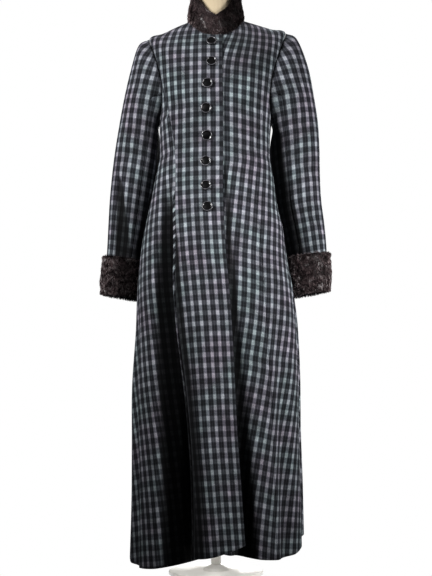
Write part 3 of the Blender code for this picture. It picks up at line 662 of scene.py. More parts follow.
def crease_depth(points: np.ndarray, line: np.ndarray, width: float, flare: float = 0.0) -> np.ndarray:
    """How strongly a crease acts at each point.

    Args:
        points: The surface's points.
        line: Points along the crease.
        width: The crease's half-width in metres.
        flare: How much of that width is lost at the start. A flared crease doesn't fade at its end.

    Returns:
        Values from 0 to 1, full along the crease's middle and fading to its ends.
    """
    best = np.full(points.shape[:-1], 1e9)
    along = np.zeros(points.shape[:-1])
    steps = len(line) - 1
    for i, (a, b) in enumerate(zip(line, line[1:])):
        span = b - a
        share = np.clip(((points - a) @ span) / max(span @ span, 1e-12), 0.0, 1.0)
        far = np.linalg.norm(points - a - share[..., None] * span, axis=-1)
        nearer = far < best
        best = np.where(nearer, far, best)
        along = np.where(nearer, (i + share) / steps, along)
    here = width * (1.0 - flare * (1.0 - along))
    fade = smooth(along * 5.0) if flare else np.sin(math.pi * np.clip(0.06 + 0.9 * along, 0.0, 1.0)) ** 0.8
    return np.exp(-(best / here) ** 2) * fade


def spaced(values: np.ndarray, lengths: np.ndarray, count: int) -> np.ndarray:
    """Pick values so that the lengths between them are even.

    Args:
        values: Finely spaced values.
        lengths: The running length at each of them.
        count: How many gaps there are between the picked values.

    Returns:
        One more value than there are gaps.
    """
    return np.interp(np.linspace(0.0, lengths[-1], count + 1), lengths, values)


def running_length(points: np.ndarray) -> np.ndarray:
    """The running length along a line of points."""
    return np.concatenate([[0.0], np.cumsum(np.linalg.norm(np.diff(points, axis=0), axis=-1))])


def row_runs(points: np.ndarray) -> np.ndarray:
    """The running length along each row of a grid of points."""
    width = np.linalg.norm(np.diff(points, axis=1), axis=-1)
    return np.concatenate([np.zeros((len(points), 1)), np.cumsum(width, axis=1)], axis=1)


def linked(name: str, data: Optional[bpy.types.ID]) -> bpy.types.Object:
    """Put data in the scene as an object."""
    made = bpy.data.objects.new(name, data)
    bpy.context.scene.collection.objects.link(made)
    return made


def cloth_grid(name: str, points: np.ndarray, cloth_map: np.ndarray, hollow: np.ndarray,
               closed: bool = False) -> bpy.types.Object:
    """Make a grid of faces on given places.

    Args:
        name: The piece's name.
        points: Places by row and column.
        cloth_map: The cloth's own coordinates in metres, by row and column.
        hollow: How much painted shade darkens each point, from 0 to 1.
        closed: True where the last column meets the first.

    Returns:
        The new object, its faces turned outward from the coat's or sleeve's middle.
    """
    rows, columns = points.shape[:2]
    grid = bmesh.new()
    bmesh.ops.create_grid(grid, x_segments=columns - 1, y_segments=rows - 1, size=0.5)
    data = bpy.data.meshes.new(name)
    grid.to_mesh(data)
    grid.free()
    place = np.empty(len(data.vertices) * 3)
    data.vertices.foreach_get("co", place)
    place = place.reshape(-1, 3)
    column = np.rint((place[:, 0] + 0.5) * (columns - 1)).astype(int)
    row = np.rint((place[:, 1] + 0.5) * (rows - 1)).astype(int)
    data.vertices.foreach_set("co", points[row, column].ravel())
    corner = np.empty(len(data.loops), dtype=int)
    data.loops.foreach_get("vertex_index", corner)
    layer = data.uv_layers.new(name="cloth")
    layer.data.foreach_set("uv", cloth_map[row, column][corner].ravel())
    # the hollow attribute holds painted shade, from 0 to 1
    kept = data.attributes.new("hollow", "FLOAT", "POINT")
    kept.data.foreach_set("value", hollow[row, column].ravel())
    data.update()
    made = linked(name, data)
    shape = bmesh.new()
    shape.from_mesh(data)
    if closed:
        bmesh.ops.remove_doubles(shape, verts=shape.verts[:], dist=1e-5)
    shape.normal_update()
    middle = points.reshape(-1, 3).mean(axis=0)
    facing = sum(face.normal.dot(face.calc_center_median() - Vector((middle[0], middle[1] * 0.2, middle[2])))
                 for face in shape.faces)
    if facing < 0:
        bmesh.ops.reverse_faces(shape, faces=shape.faces[:])
    shape.to_mesh(data)
    shape.free()
    data.shade_smooth()
    return made


class Nodes:
    """Short ways to add a tree's nodes, each of which gives back its output."""

    def __init__(self, tree: bpy.types.NodeTree) -> None:
        """Keep the tree that the nodes go into."""
        self.tree = tree

    def noise(self, place: Optional[Socket], scale: float, detail: float = 2.0, roughness: float = 0.5,
              output: int | str = 0) -> Socket:
        """Soft noise of a scale over a place."""
        inputs = {"Scale": scale, "Detail": detail, "Roughness": roughness}
        if place is not None:
            inputs["Vector"] = place
        return add_node(self.tree, "ShaderNodeTexNoise", inputs).outputs[output]

    def remap(self, value: Socket, low: float, high: float, to_low: float = 0.0,
              to_high: float = 1.0) -> Socket:
        """Carry a value from one range into another."""
        return add_node(self.tree, "ShaderNodeMapRange",
                        {0: value, 1: low, 2: high, 3: to_low, 4: to_high}).outputs[0]

    def mix(self, share: Socket | float, first: Socket | str, second: Socket | str,
            kind: str = "MIX") -> Socket:
        """Mix or multiply two colours, each a hex colour or a socket."""
        ends = [linear(end) if isinstance(end, str) else end for end in (first, second)]
        return add_node(self.tree, "ShaderNodeMix", {0: share, 6: ends[0], 7: ends[1]},
                        data_type="RGBA", blend_type=kind).outputs[2]

    def times(self, colour: Socket, value: Socket) -> Socket:
        """Multiply a colour by a tone or another colour."""
        return self.mix(1.0, colour, value, "MULTIPLY")

    def math(self, operation: str, first: Socket | float, second: Socket | float = 0.0) -> Socket:
        """Work out one number from one or two others."""
        return add_node(self.tree, "ShaderNodeMath", {0: first, 1: second}, operation=operation).outputs[0]

    def vector(self, operation: str, first: Socket, second: Socket | float | tuple) -> Socket:
        """Work out a vector, or a dot product, from a vector and another input."""
        node = add_node(self.tree, "ShaderNodeVectorMath",
                        {0: first, "Scale" if operation == "SCALE" else 1: second}, operation=operation)
        return node.outputs["Value" if operation == "DOT_PRODUCT" else 0]

    def read(self, name: str) -> Socket:
        """Read a point attribute."""
        return add_node(self.tree, "ShaderNodeAttribute", attribute_name=name).outputs["Fac"]

    def object_place(self) -> Socket:
        """The place in the object's own coordinates."""
        return add_node(self.tree, "ShaderNodeTexCoord").outputs["Object"]

    def painted_shade_tone(self, darkest: float) -> Socket:
        """How light the painted shade in the hollow attribute leaves the surface."""
        return self.remap(self.read("hollow"), 0.0, 1.0, 1.0, darkest)


def new_material(name: str, values: dict[str, object]) -> tuple[bpy.types.Material, Nodes, dict[str, Socket]]:
    """Start a material, with values set on its shader.

    Args:
        name: The material's name.
        values: The shader's input values by name.

    Returns:
        The material, its nodes, and the shader's inputs.
    """
    made = bpy.data.materials.new(name)
    made.use_nodes = True
    sockets = made.node_tree.nodes["Principled BSDF"].inputs
    for key, value in values.items():
        sockets[key].default_value = value
    return made, Nodes(made.node_tree), sockets


@dataclass(frozen=True)
class Checked:
    """Brushed wool check, woven: two crossed stripes with a soft, short nap that catches no sharp light."""
    cell_across: float = 0.0225
    cell_along: float = 0.0255
    both_light: str = "A3A6AB"
    warp_light: str = "686B72"
    weft_light: str = "37393F"
    both_dark: str = "0E0F14"
    cool_tint: str = "F3FFFB"
    warm_tint: str = "FFF2FA"
    sheen_tint: str = "C8CDD6"
    # how dark the painted shade in folds and creases leaves the cloth
    painted_shade_tone: float = 0.10
    nap: float = 420.0
    cloud: float = 26.0
    drift: float = 9.0
    wave: float = 110.0
    wobble: float = 0.0026
    warp_stops: tuple[tuple[float, float], ...] = (
        (0.0, 0.10), (0.06, 0.85), (0.18, 1.0), (0.21, 0.72), (0.24, 0.72), (0.27, 1.0), (0.37, 0.85),
        (0.45, 0.10), (0.56, 0.06), (0.60, 0.0), (0.64, 0.0), (0.68, 0.14), (0.76, 0.14), (0.80, 0.0),
        (0.84, 0.0), (0.88, 0.08), (0.95, 0.06))
    weft_stops: tuple[tuple[float, float], ...] = (
        (0.0, 0.10), (0.06, 0.85), (0.21, 1.0), (0.25, 0.80), (0.28, 0.80), (0.32, 1.0), (0.44, 0.85),
        (0.52, 0.10), (0.62, 0.06), (0.66, 0.0), (0.70, 0.0), (0.74, 0.14), (0.80, 0.14), (0.84, 0.0),
        (0.88, 0.0), (0.91, 0.08), (0.96, 0.06))

    @staticmethod
    def stripes(nodes: Nodes, place: Socket, cell: float, stops: Sequence[tuple[float, float]]) -> Socket:
        """Draw one set of stripes.

        Args:
            nodes: The material's nodes.
            place: The distance across the stripes in metres.
            cell: The repeat in metres.
            stops: Shares of the repeat and how light the yarn is there.

        Returns:
            A socket with how light the yarn is.
        """
        share = nodes.math("FRACT", nodes.math("MULTIPLY", place, 1.0 / cell))
        ramp = add_node(nodes.tree, "ShaderNodeValToRGB", {0: share})
        elements = ramp.color_ramp.elements
        elements.remove(elements[1])
        for index, (position, value) in enumerate(stops):
            stop = elements[0] if index == 0 else elements.new(position)
            stop.position = position
            stop.color = (value, value, value, 1.0)
        return ramp.outputs[0]

    def material(self) -> bpy.types.Material:
        """Make the cloth's material on its own map in metres."""
        made, nodes, shader = new_material("brushed_wool_check", {
            "Roughness": 0.93, "Specular IOR Level": 0.25, "Sheen Weight": 0.18, "Sheen Roughness": 0.5,
            "Sheen Tint": linear(self.sheen_tint)})
        tree = nodes.tree
        cloth = add_node(tree, "ShaderNodeUVMap", uv_map="cloth").outputs[0]
        wave = nodes.vector("SUBTRACT", nodes.noise(cloth, self.wave, 4.0, 0.7, "Color"), (0.5, 0.5, 0.5))
        place = nodes.vector("ADD", cloth, nodes.vector("SCALE", wave, self.wobble))
        axes = add_node(tree, "ShaderNodeSeparateXYZ", {0: place}).outputs
        warp = self.stripes(nodes, axes[0], self.cell_across, self.warp_stops)
        weft = self.stripes(nodes, axes[1], self.cell_along, self.weft_stops)
        check = nodes.mix(warp, nodes.mix(weft, self.both_dark, self.weft_light),
                          nodes.mix(weft, self.warp_light, self.both_light))
        nap = nodes.noise(cloth, self.nap, 3.0, 0.6)
        wear_and_rim_highlight = nodes.math("ADD", nap, nodes.noise(cloth, self.cloud, 3.0))
        drift = nodes.remap(nodes.noise(cloth, self.drift, 3.0), 0.38, 0.62)
        colour = nodes.times(check, nodes.remap(wear_and_rim_highlight, 0.7, 1.3, 0.42, 1.55))
        colour = nodes.times(colour, nodes.mix(drift, self.cool_tint, self.warm_tint))
        # painted shade: the cloth is coloured darker where its hollow attribute says
        tree.links.new(nodes.times(colour, nodes.painted_shade_tone(self.painted_shade_tone)), shader["Base Color"])
        bump = add_node(tree, "ShaderNodeBump", {"Strength": 0.35, "Distance": 0.0006, "Height": nap})
        tree.links.new(bump.outputs[0], shader["Normal"])
        return made


@dataclass(frozen=True)
class Pelt:
    """Dyed fur, sheared: deep brown hair whose tips glint, over a darker root."""
    root: str = "1F1617"
    tip: str = "79686A"
    glint: str = "B3A2A0"
    # how dark the painted shade on one side of the collar and on part of each cuff leaves the fur
    painted_shade_tone: float = 0.26
    tuft: float = 190.0
    patch: float = 38.0

    def material(self) -> bpy.types.Material:
        """Make the fur's material, which reads each hair's tip attribute and the painted shade of its hide.
        """
        made, nodes, shader = new_material("dyed_sheared_fur", {"Roughness": 0.42})
        place = nodes.object_place()
        glint = nodes.remap(nodes.noise(place, self.tuft), 0.50, 0.72)
        hair = nodes.mix(nodes.read("tip"), self.root, nodes.mix(glint, self.tip, self.glint))
        patch = nodes.remap(nodes.noise(place, self.patch), 0.35, 0.65, 0.6, 1.2)
        # painted shade: darker hair and weaker highlights where the hide's hollow attribute says
        tone = nodes.painted_shade_tone(self.painted_shade_tone)
        nodes.tree.links.new(nodes.times(hair, nodes.math("MULTIPLY", patch, tone)), shader["Base Color"])
        nodes.tree.links.new(nodes.math("MULTIPLY", tone, 0.5), shader["Specular IOR Level"])
        return made


@dataclass(frozen=True)
class Horn:
    """Dark polished horn, with a painted highlight that makes it paler along the rim."""
    middle: str = "09090B"
    # the colour of the painted highlight along the rim
    rim: str = "7A797F"
    streak: float = 150.0

    def material(self) -> bpy.types.Material:
        """Make the horn's material, which reads each button's rim attribute, where the painted highlight
        lies.
        """
        made, nodes, shader = new_material("polished_horn", {
            "Roughness": 0.26, "Coat Weight": 1.0, "Coat Roughness": 0.14})
        # painted highlight: the rim is coloured paler, broken up by streaky noise
        streak = nodes.remap(nodes.noise(nodes.object_place(), self.streak), 0.35, 0.65, 0.25, 1.0)
        share = nodes.math("MULTIPLY", nodes.read("rim"), streak)
        nodes.tree.links.new(nodes.mix(share, self.middle, self.rim), shader["Base Color"])
        return made


@dataclass(frozen=True)
class Plain:
    """A finish with a soft grain: its name, two close colours, grain size and surface."""
    name: str
    colour: str
    other: str
    grain: float
    roughness: float
    bump: float
    coat: float = 0.0
    sheen: float = 0.0

    def material(self) -> bpy.types.Material:
        """Make the material on object coordinates."""
        made, nodes, shader = new_material(self.name, {
            "Roughness": self.roughness, "Coat Weight": self.coat, "Coat Roughness": 0.12,
            "Sheen Weight": self.sheen})
        grain = nodes.noise(nodes.object_place(), self.grain, 4.0)
        nodes.tree.links.new(nodes.mix(grain, self.colour, self.other), shader["Base Color"])
        bump = add_node(nodes.tree, "ShaderNodeBump", {"Strength": 0.4, "Distance": self.bump,
                                                       "Height": grain})
        nodes.tree.links.new(bump.outputs[0], shader["Normal"])
        return made


def declare(piece: bpy.types.Object, slot: Slot, material: bpy.types.Material, *nodes: str) -> None:
    """Dress a piece, let it ride on the coat, and hide the model nodes that it stands for."""
    piece.data.materials.clear()
    piece.data.materials.append(material)
    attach(piece, "root")
    if nodes:
        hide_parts(*nodes)


def thicken(piece: bpy.types.Object, wall: float) -> None:
    """Give a shell its wall, inward from its outer face."""
    modifier = piece.modifiers.new("wall", "SOLIDIFY")
    modifier.thickness = wall
    modifier.offset = -1.0
    modifier.use_rim = True


@dataclass
class Cloth:
    """The coat's cut pieces of cloth, each one a shell of its own."""
    surface: CoatSurface
    material: bpy.types.Material
    row_step: float = 0.007
    column_step: float = 0.0060
    sleeve_step: float = 0.0065
    seam_drop: float = 0.0005
    seam_reach: float = 0.0022
    lap_stand: float = 0.0010
    lap_reach: float = 0.010
    fine_steps: int = 400
    column_evenness: float = 0.75
    fewest_columns: int = 24
    armhole_inset: float = 0.12
    sleeve_turn_step: float = 3.6
    shade_onset: float = 0.25
    shade_range: float = 0.32
    apex: float = 1.3
    waist_height: float = 1.05
    # how deep a fold is where its painted shade begins, and how much deeper it is where that shade is full
    painted_shade_start: float = 0.003
    painted_shade_span: float = 0.014
    sleeve_radius: float = 0.055
    sleeve_tilt: float = 13.0
    seams: dict[str, np.ndarray] = field(default_factory=dict)

    def detail(self, name: str, points: np.ndarray, normals: np.ndarray, edge: np.ndarray,
               place) -> tuple[np.ndarray, np.ndarray]:
        """Press the seams and creases into a piece, and work out the creases' painted shade.

        Args:
            name: The piece or sleeve that the creases name.
            points: The plain surface.
            normals: Its outward normals.
            edge: The distance from each point to the nearest seam.
            place: A function from the crease table's two coordinates to a point.

        Returns:
            The moved points, and how much painted shade the creases lay on the cloth at each.
        """
        drop = self.seam_drop * np.exp(-(edge / self.seam_reach) ** 2)
        shade = np.zeros_like(drop)
        for crease in CREASES.get(name, ()):
            share = np.linspace(0.0, 1.0, 9)[:, None]
            a, b, c = (np.array(v, dtype=float) for v in (crease.start, crease.bend, crease.end))
            line = a * (1 - share) ** 2 + 2 * b * share * (1 - share) + c * share ** 2
            pressed = crease_depth(points, place(line[:, 0], line[:, 1]), crease.width, crease.flare)
            drop = drop + crease.depth * pressed
            shade = np.maximum(shade, crease.shade * smooth((pressed - self.shade_onset) / self.shade_range))
        return points - normals * drop[..., None], shade

    def panel(self, cut: PanelCut) -> bpy.types.Object:
        """Make one cut piece of the body.

        Args:
            cut: The piece's edges, rises and grain.

        Returns:
            The dressed piece.
        """
        fine = np.linspace(0.0, 1.0, self.fine_steps)
        across = running_length(self.surface.point(cut, fine, np.full_like(fine, SPACING_LEVEL)))
        even = self.column_evenness
        mixed = across / across[-1] * even + fine * (1.0 - even)
        shares = spaced(fine, mixed, max(self.fewest_columns, int(across[-1] / self.column_step)))
        fine = np.linspace(cut.first + (self.armhole_inset if cut.first else 0.0), HEM, 600)
        down = running_length(self.surface.point(cut, np.full_like(fine, 0.5), fine))
        levels = spaced(fine, down, int(down[-1] / self.row_step))
        share, level = np.meshgrid(shares, levels)
        points = self.surface.point(cut, share, level)
        normals = self.surface.normal(cut, share, level)
        run = row_runs(points)
        inset = 0.5 * SEAM_GAP * (1.0 - 2.0 * share)
        points = points + unit(np.gradient(points, axis=1)) * inset[..., None]
        edge = np.minimum(run, run[:, -1:] - run)
        lift = self.surface.lap_lift(cut, share, level)
        if cut.edge_a in ("lap", "under"):
            edge = run[:, -1:] - run
        if cut.edge_a == "lap":
            lift = lift + self.lap_stand * np.exp(-(run / self.lap_reach) ** 2)
        away = normals * np.stack([np.ones_like(level), np.ones_like(level), np.minimum(1.0, level)], axis=-1)
        points = points + away * (lift / np.sum(away * normals, axis=-1))[..., None]
        points, shade = self.detail(cut.name, points, normals, edge,
                                    lambda s, v: self.surface.point(cut, s, v))
        # painted shade: the cloth is coloured darker along creases and inside deep folds
        hollow = np.maximum(shade, self.surface.fold_shade(cut, share, level, self.painted_shade_start,
                                                           self.painted_shade_span))
        cloth_map = self.cloth_map(points, shares, cut.grain)
        order = np.argsort(points[:, -1, 2])
        self.seams[cut.name] = np.column_stack([points[order, -1, 2], cloth_map[order, -1]])
        made = cloth_grid(cut.name + "_cloth", points, cloth_map, hollow)
        thicken(made, WALL)
        declare(made, Slot.WOOL, self.material, cut.name)
        return made

    def cloth_map(self, points: np.ndarray, shares: np.ndarray, grain: Grain) -> np.ndarray:
        """Args:
            points: The piece's surface by row and column.
            shares: The share of the width at each column.
            grain: Where the grain line runs, and the check's shift and lean.

        Returns:
            Two coordinates in metres for each point.
        """
        run = row_runs(points[..., :2])
        start = np.array([np.interp(grain.share, shares, row) for row in run])
        across = run - start[:, None]
        column = int(np.argmin(np.abs(shares - grain.share)))
        line = points[:, column]
        length = running_length(line)
        order = np.argsort(line[:, 2])
        heights, lengths, height = line[order, 2], length[order], points[..., 2]
        down = np.interp(height, heights, lengths)
        down = down + np.maximum(0.0, heights[0] - height) - np.maximum(0.0, height - heights[-1])
        waist = np.maximum(0.0, self.waist_height - points[..., 2])
        droop = np.clip(waist / 0.2, 0.0, 1.0) * across ** 2 / (2.0 * self.apex)
        leaned = across * (1.0 + grain.fan * waist) + grain.lean * waist
        if grain.follows:
            seam = self.seams[grain.follows]
            leaned = (across * (1.0 + grain.fan * waist)
                      + np.interp(line[:, 2], seam[:, 0], seam[:, 1])[:, None])
            down = np.interp(line[:, 2], seam[:, 0], seam[:, 2])[:, None] + (line[:, 2][:, None] - height)
        return np.stack([leaned + grain.across, down - droop - grain.lean * across], axis=-1)

    def sleeve_map(self, tube: SleeveSurface, points: np.ndarray, turn: np.ndarray) -> np.ndarray:
        """Args:
            tube: The sleeve's surface.
            points: The piece's points.
            turn: Their turns round the sleeve in radians.

        Returns:
            Two coordinates in metres for each point.
        """
        middles = [(row.z_in + row.z_out) / 2 for row in tube.rings[::-1]] + [1.42]
        centre_x = np.interp(points[..., 2], middles,
                             [(row.x_in + row.x_out) / 2 for row in tube.rings[::-1]] + [0.135])
        centre_y = np.interp(points[..., 2], middles, [row.y for row in tube.rings[::-1]] + [0.0])
        angle = np.arctan2(centre_y - points[..., 1], tube.side * points[..., 0] - centre_x)
        angle = angle + np.rint((turn - angle) / (2.0 * math.pi)) * 2.0 * math.pi
        tilt = math.radians(self.sleeve_tilt)
        down = tube.side * points[..., 0] * math.sin(tilt) - points[..., 2] * math.cos(tilt)
        return np.stack([self.sleeve_radius * angle, down + 2.0], axis=-1)

    def sleeve(self, side: int, name: str, first: float, last: float) -> bpy.types.Object:
        """Make the upper or the under piece of a sleeve.

        Args:
            side: -1 for the wearer's right.
            name: The node that the piece stands for.
            first: The turn of its first seam in degrees.
            last: The turn of its last seam.

        Returns:
            The dressed piece.
        """
        tube = SleeveSurface(side, self.surface)
        wide = np.linspace(math.radians(first), math.radians(last),
                           int((last - first) / self.sleeve_turn_step) + 1)
        fine = np.linspace(0.0, CUFF_END, self.fine_steps)
        down = running_length(tube.point(np.full_like(fine, 0.5 * (wide[0] + wide[-1])), fine))
        rings = spaced(fine, down, int(down[-1] / self.sleeve_step))
        turn, ring = np.meshgrid(wide, rings)
        points, normals = tube.point(turn, ring), tube.normal(turn, np.maximum(ring, 0.03))
        run = row_runs(points)
        share = (turn - wide[0]) / (wide[-1] - wide[0])
        points = points + unit(np.gradient(points, axis=1)) * (0.5 * SEAM_GAP * (1 - 2 * share))[..., None]
        points[0] += unit(tube.point(wide, np.full_like(wide, 0.05)) - points[0]) * SEAM_GAP * 2.0
        edge = np.minimum(run, run[:, -1:] - run)
        points, shade = self.detail("right" if side < 0 else "left", points, normals, edge,
                                    lambda s, v: tube.point(np.radians(s), v))
        # the creases' painted shade goes into the piece's hollow attribute
        made = cloth_grid(name + "_cloth", points, self.sleeve_map(tube, points, turn), shade)
        thicken(made, WALL)
        declare(made, Slot.WOOL, self.material, name)
        return made

    def build(self) -> None:
        """Make every cut piece of cloth."""
        for cut in PANELS:
            self.panel(cut)
        for side, name in ((-1, "right"), (1, "left")):
            self.sleeve(side, "upper_sleeve_" + name, -SEAM_TURN, SEAM_TURN)
            self.sleeve(side, "under_sleeve_" + name, SEAM_TURN, 360.0 - SEAM_TURN)
        LOG.info("cloth made")


@dataclass
class Fur:
    """The fur collar and the two fur cuffs: a hide with short hair that lies down it."""
    surface: CoatSurface
    material: bpy.types.Material
    hair_length: float = 0.0070
    hair_width: float = 0.00062
    stand: float = 0.36
    bend: float = 0.25
    ruffle: float = 55.0
    spread: float = 2.2
    least_rise: float = 0.22
    per_area: float = 560000.0
    seed: int = 7
    collar_seat: float = 0.0008
    collar_set_in: float = 0.0015
    collar_swell: float = 0.003
    collar_turn: tuple[float, float, int] = (-4.2, 354.2, 150)
    collar_rows: int = 19
    # angles where painted shade darkens the fur of the collar and of each cuff
    collar_painted_shade: tuple[float, float, float, float] = (-8.0, 30.0, 140.0, 50.0)
    cuff_turns: int = 65
    cuff_rows: int = 17
    cuff_roll_ends: tuple[float, float] = (0.12, 0.88)
    cuff_painted_shade_right: tuple[float, float, float, float] = (62.0, 24.0, 205.0, 50.0)
    cuff_painted_shade_left: tuple[float, float, float, float] = (118.0, 24.0, 205.0, 50.0)

    def pile(self) -> bpy.types.NodeTree:
        """Make the nodes that set bent hairs over a hide.

        Returns:
            A node group with the hide as its input.
        """
        tree = bpy.data.node_groups.new("pile", "GeometryNodeTree")
        tree.interface.new_socket("Geometry", in_out="INPUT", socket_type="NodeSocketGeometry")
        tree.interface.new_socket("Geometry", in_out="OUTPUT", socket_type="NodeSocketGeometry")
        nodes = Nodes(tree)
        hide = add_node(tree, "NodeGroupInput").outputs[0]
        points = add_node(tree, "GeometryNodeDistributePointsOnFaces", {
            "Mesh": hide, "Density": self.per_area, "Seed": self.seed}, distribute_method="RANDOM").outputs
        hair = add_node(tree, "GeometryNodeMeshCone", {
            "Vertices": 3, "Side Segments": 1, "Radius Top": 0.0, "Radius Bottom": self.hair_width,
            "Depth": self.hair_length}, fill_type="NGON").outputs[0]
        place = add_node(tree, "GeometryNodeInputPosition").outputs[0]
        height = add_node(tree, "ShaderNodeSeparateXYZ", {0: place}).outputs[2]
        share = nodes.math("MULTIPLY", height, 1.0 / self.hair_length)
        lean = nodes.math("MULTIPLY", nodes.math("POWER", share, 2.0), self.bend * self.hair_length)
        shift = add_node(tree, "ShaderNodeCombineXYZ", {0: lean}).outputs[0]
        bent = add_node(tree, "GeometryNodeSetPosition", {"Geometry": hair, "Offset": shift}).outputs[0]
        marked = add_node(tree, "GeometryNodeStoreNamedAttribute", {
            "Geometry": bent, "Name": "tip", "Value": share}, data_type="FLOAT", domain="POINT").outputs[0]
        centred = nodes.vector("SUBTRACT", nodes.noise(None, self.ruffle, output="Color"), (0.5, 0.5, 0.5))
        risen = nodes.vector("SCALE", points["Normal"], self.stand)
        fallen = nodes.vector("ADD", risen, (0.0, 0.0, -1.0))
        way = nodes.vector("ADD", fallen, nodes.vector("SCALE", centred, self.spread))
        kept = nodes.vector("DOT_PRODUCT", way, points["Normal"])
        more = nodes.math("MAXIMUM", nodes.math("SUBTRACT", self.least_rise, kept))
        safe = nodes.vector("ADD", way, nodes.vector("SCALE", points["Normal"], more))
        turned = add_node(tree, "FunctionNodeAlignRotationToVector", {"Vector": safe}, axis="Z").outputs[0]
        chance = add_node(tree, "FunctionNodeRandomValue", {2: 0.65, 3: 1.15, "Seed": self.seed},
                          data_type="FLOAT").outputs[1]
        placed = add_node(tree, "GeometryNodeInstanceOnPoints", {
            "Points": points["Points"], "Instance": marked, "Rotation": turned, "Scale": chance})
        real = add_node(tree, "GeometryNodeRealizeInstances", {0: placed.outputs[0]})
        add_node(tree, "NodeGroupOutput", {0: real.outputs[0]})
        return tree

    def grow(self, hide: bpy.types.Object, name: str, nodes: bpy.types.NodeTree) -> bpy.types.Object:
        """Grow the hair over a hide.

        Args:
            hide: The finished hide.
            name: The hair's name.
            nodes: The pile's node group.

        Returns:
            The hair as one mesh.
        """
        modifier = hide.modifiers.new("pile", "NODES")
        modifier.node_group = nodes
        graph = bpy.context.evaluated_depsgraph_get()
        data = bpy.data.meshes.new_from_object(hide.evaluated_get(graph))
        hide.modifiers.remove(modifier)
        data.name = name
        hair = linked(name, data)
        declare(hair, Slot.FUR, self.material)
        LOG.info("%s: %d faces", name, len(data.polygons))
        return hair

    @staticmethod
    def shaded(angle: np.ndarray, reach: tuple[float, float, float, float]) -> np.ndarray:
        """How dark the painted shade leaves the fur round a piece: where the shade starts, how fast, where it
        ends and how fast.
        """
        start, rise, end, fall = reach
        return smooth((angle - start) / rise) * smooth((end - angle) / fall)

    def collar(self, nodes: bpy.types.NodeTree) -> None:
        """Make the standing collar, whose ends meet in front."""
        angles = np.linspace(*self.collar_turn)
        signed = np.where(angles > 180.0, angles - 360.0, angles)
        shares = np.linspace(0.0, 1.0, self.collar_rows)
        angle, share = np.meshgrid(signed, shares)
        foot = self.surface.ring_point(angle, np.zeros_like(angle))
        radial = unit(foot * np.array([1.0, 1.0, 0.0]))
        edge = [(row.angle, row.rise) for row in COLLAR_EDGE]
        lean = curve_value([(row.angle, row.lean) for row in COLLAR_EDGE], np.abs(angle)) * share
        rise = self.collar_seat + curve_value(edge, np.abs(angle)) * share
        swell = self.collar_swell * np.sin(math.pi * share)
        points = foot + np.stack([np.zeros_like(rise), np.zeros_like(rise), rise], axis=-1)
        points = points + radial * (FUR_WALL - self.collar_set_in + swell - lean)[..., None]
        # painted shade: one side of the collar is coloured darker
        hollow = self.shaded(angle, self.collar_painted_shade)
        made = cloth_grid("collar_hide", points, np.stack([angle * 0.001, share * 0.06], axis=-1), hollow)
        thicken(made, FUR_WALL)
        declare(made, Slot.FUR, self.material, "collar")
        hair = self.grow(made, "collar_fur", nodes)

    def cuff(self, side: int, nodes: bpy.types.NodeTree) -> None:
        """Make one turned-back cuff round the end of its sleeve."""
        name = "cuff_right" if side < 0 else "cuff_left"
        tube = SleeveSurface(side, self.surface)
        turns = np.linspace(0.0, 2.0 * math.pi, self.cuff_turns)
        rings = np.linspace(CUFF_START, CUFF_END, self.cuff_rows)
        turn, ring = np.meshgrid(turns, rings)
        share = (ring - CUFF_START) / (CUFF_END - CUFF_START)
        thick = SEAM_GAP + FUR_WALL + CUFF_ROLL * np.sin(math.pi * np.clip(share, *self.cuff_roll_ends))
        points = tube.point(turn, ring) + tube.normal(turn, ring) * thick[..., None]
        # painted shade: part of the cuff is coloured darker
        hollow = self.shaded(np.degrees(turn), self.cuff_painted_shade_right if side < 0 else self.cuff_painted_shade_left)
        made = cloth_grid(name + "_hide", points, np.stack([turn * 0.06, share * 0.1], axis=-1), hollow,
                          closed=True)
        thicken(made, FUR_WALL)
        declare(made, Slot.FUR, self.material, name)
        hair = self.grow(made, name + "_fur", nodes)

    def build(self) -> None:
        """Make the collar and both cuffs."""
        nodes = self.pile()
        self.collar(nodes)
        for side in (-1, 1):
            self.cuff(side, nodes)


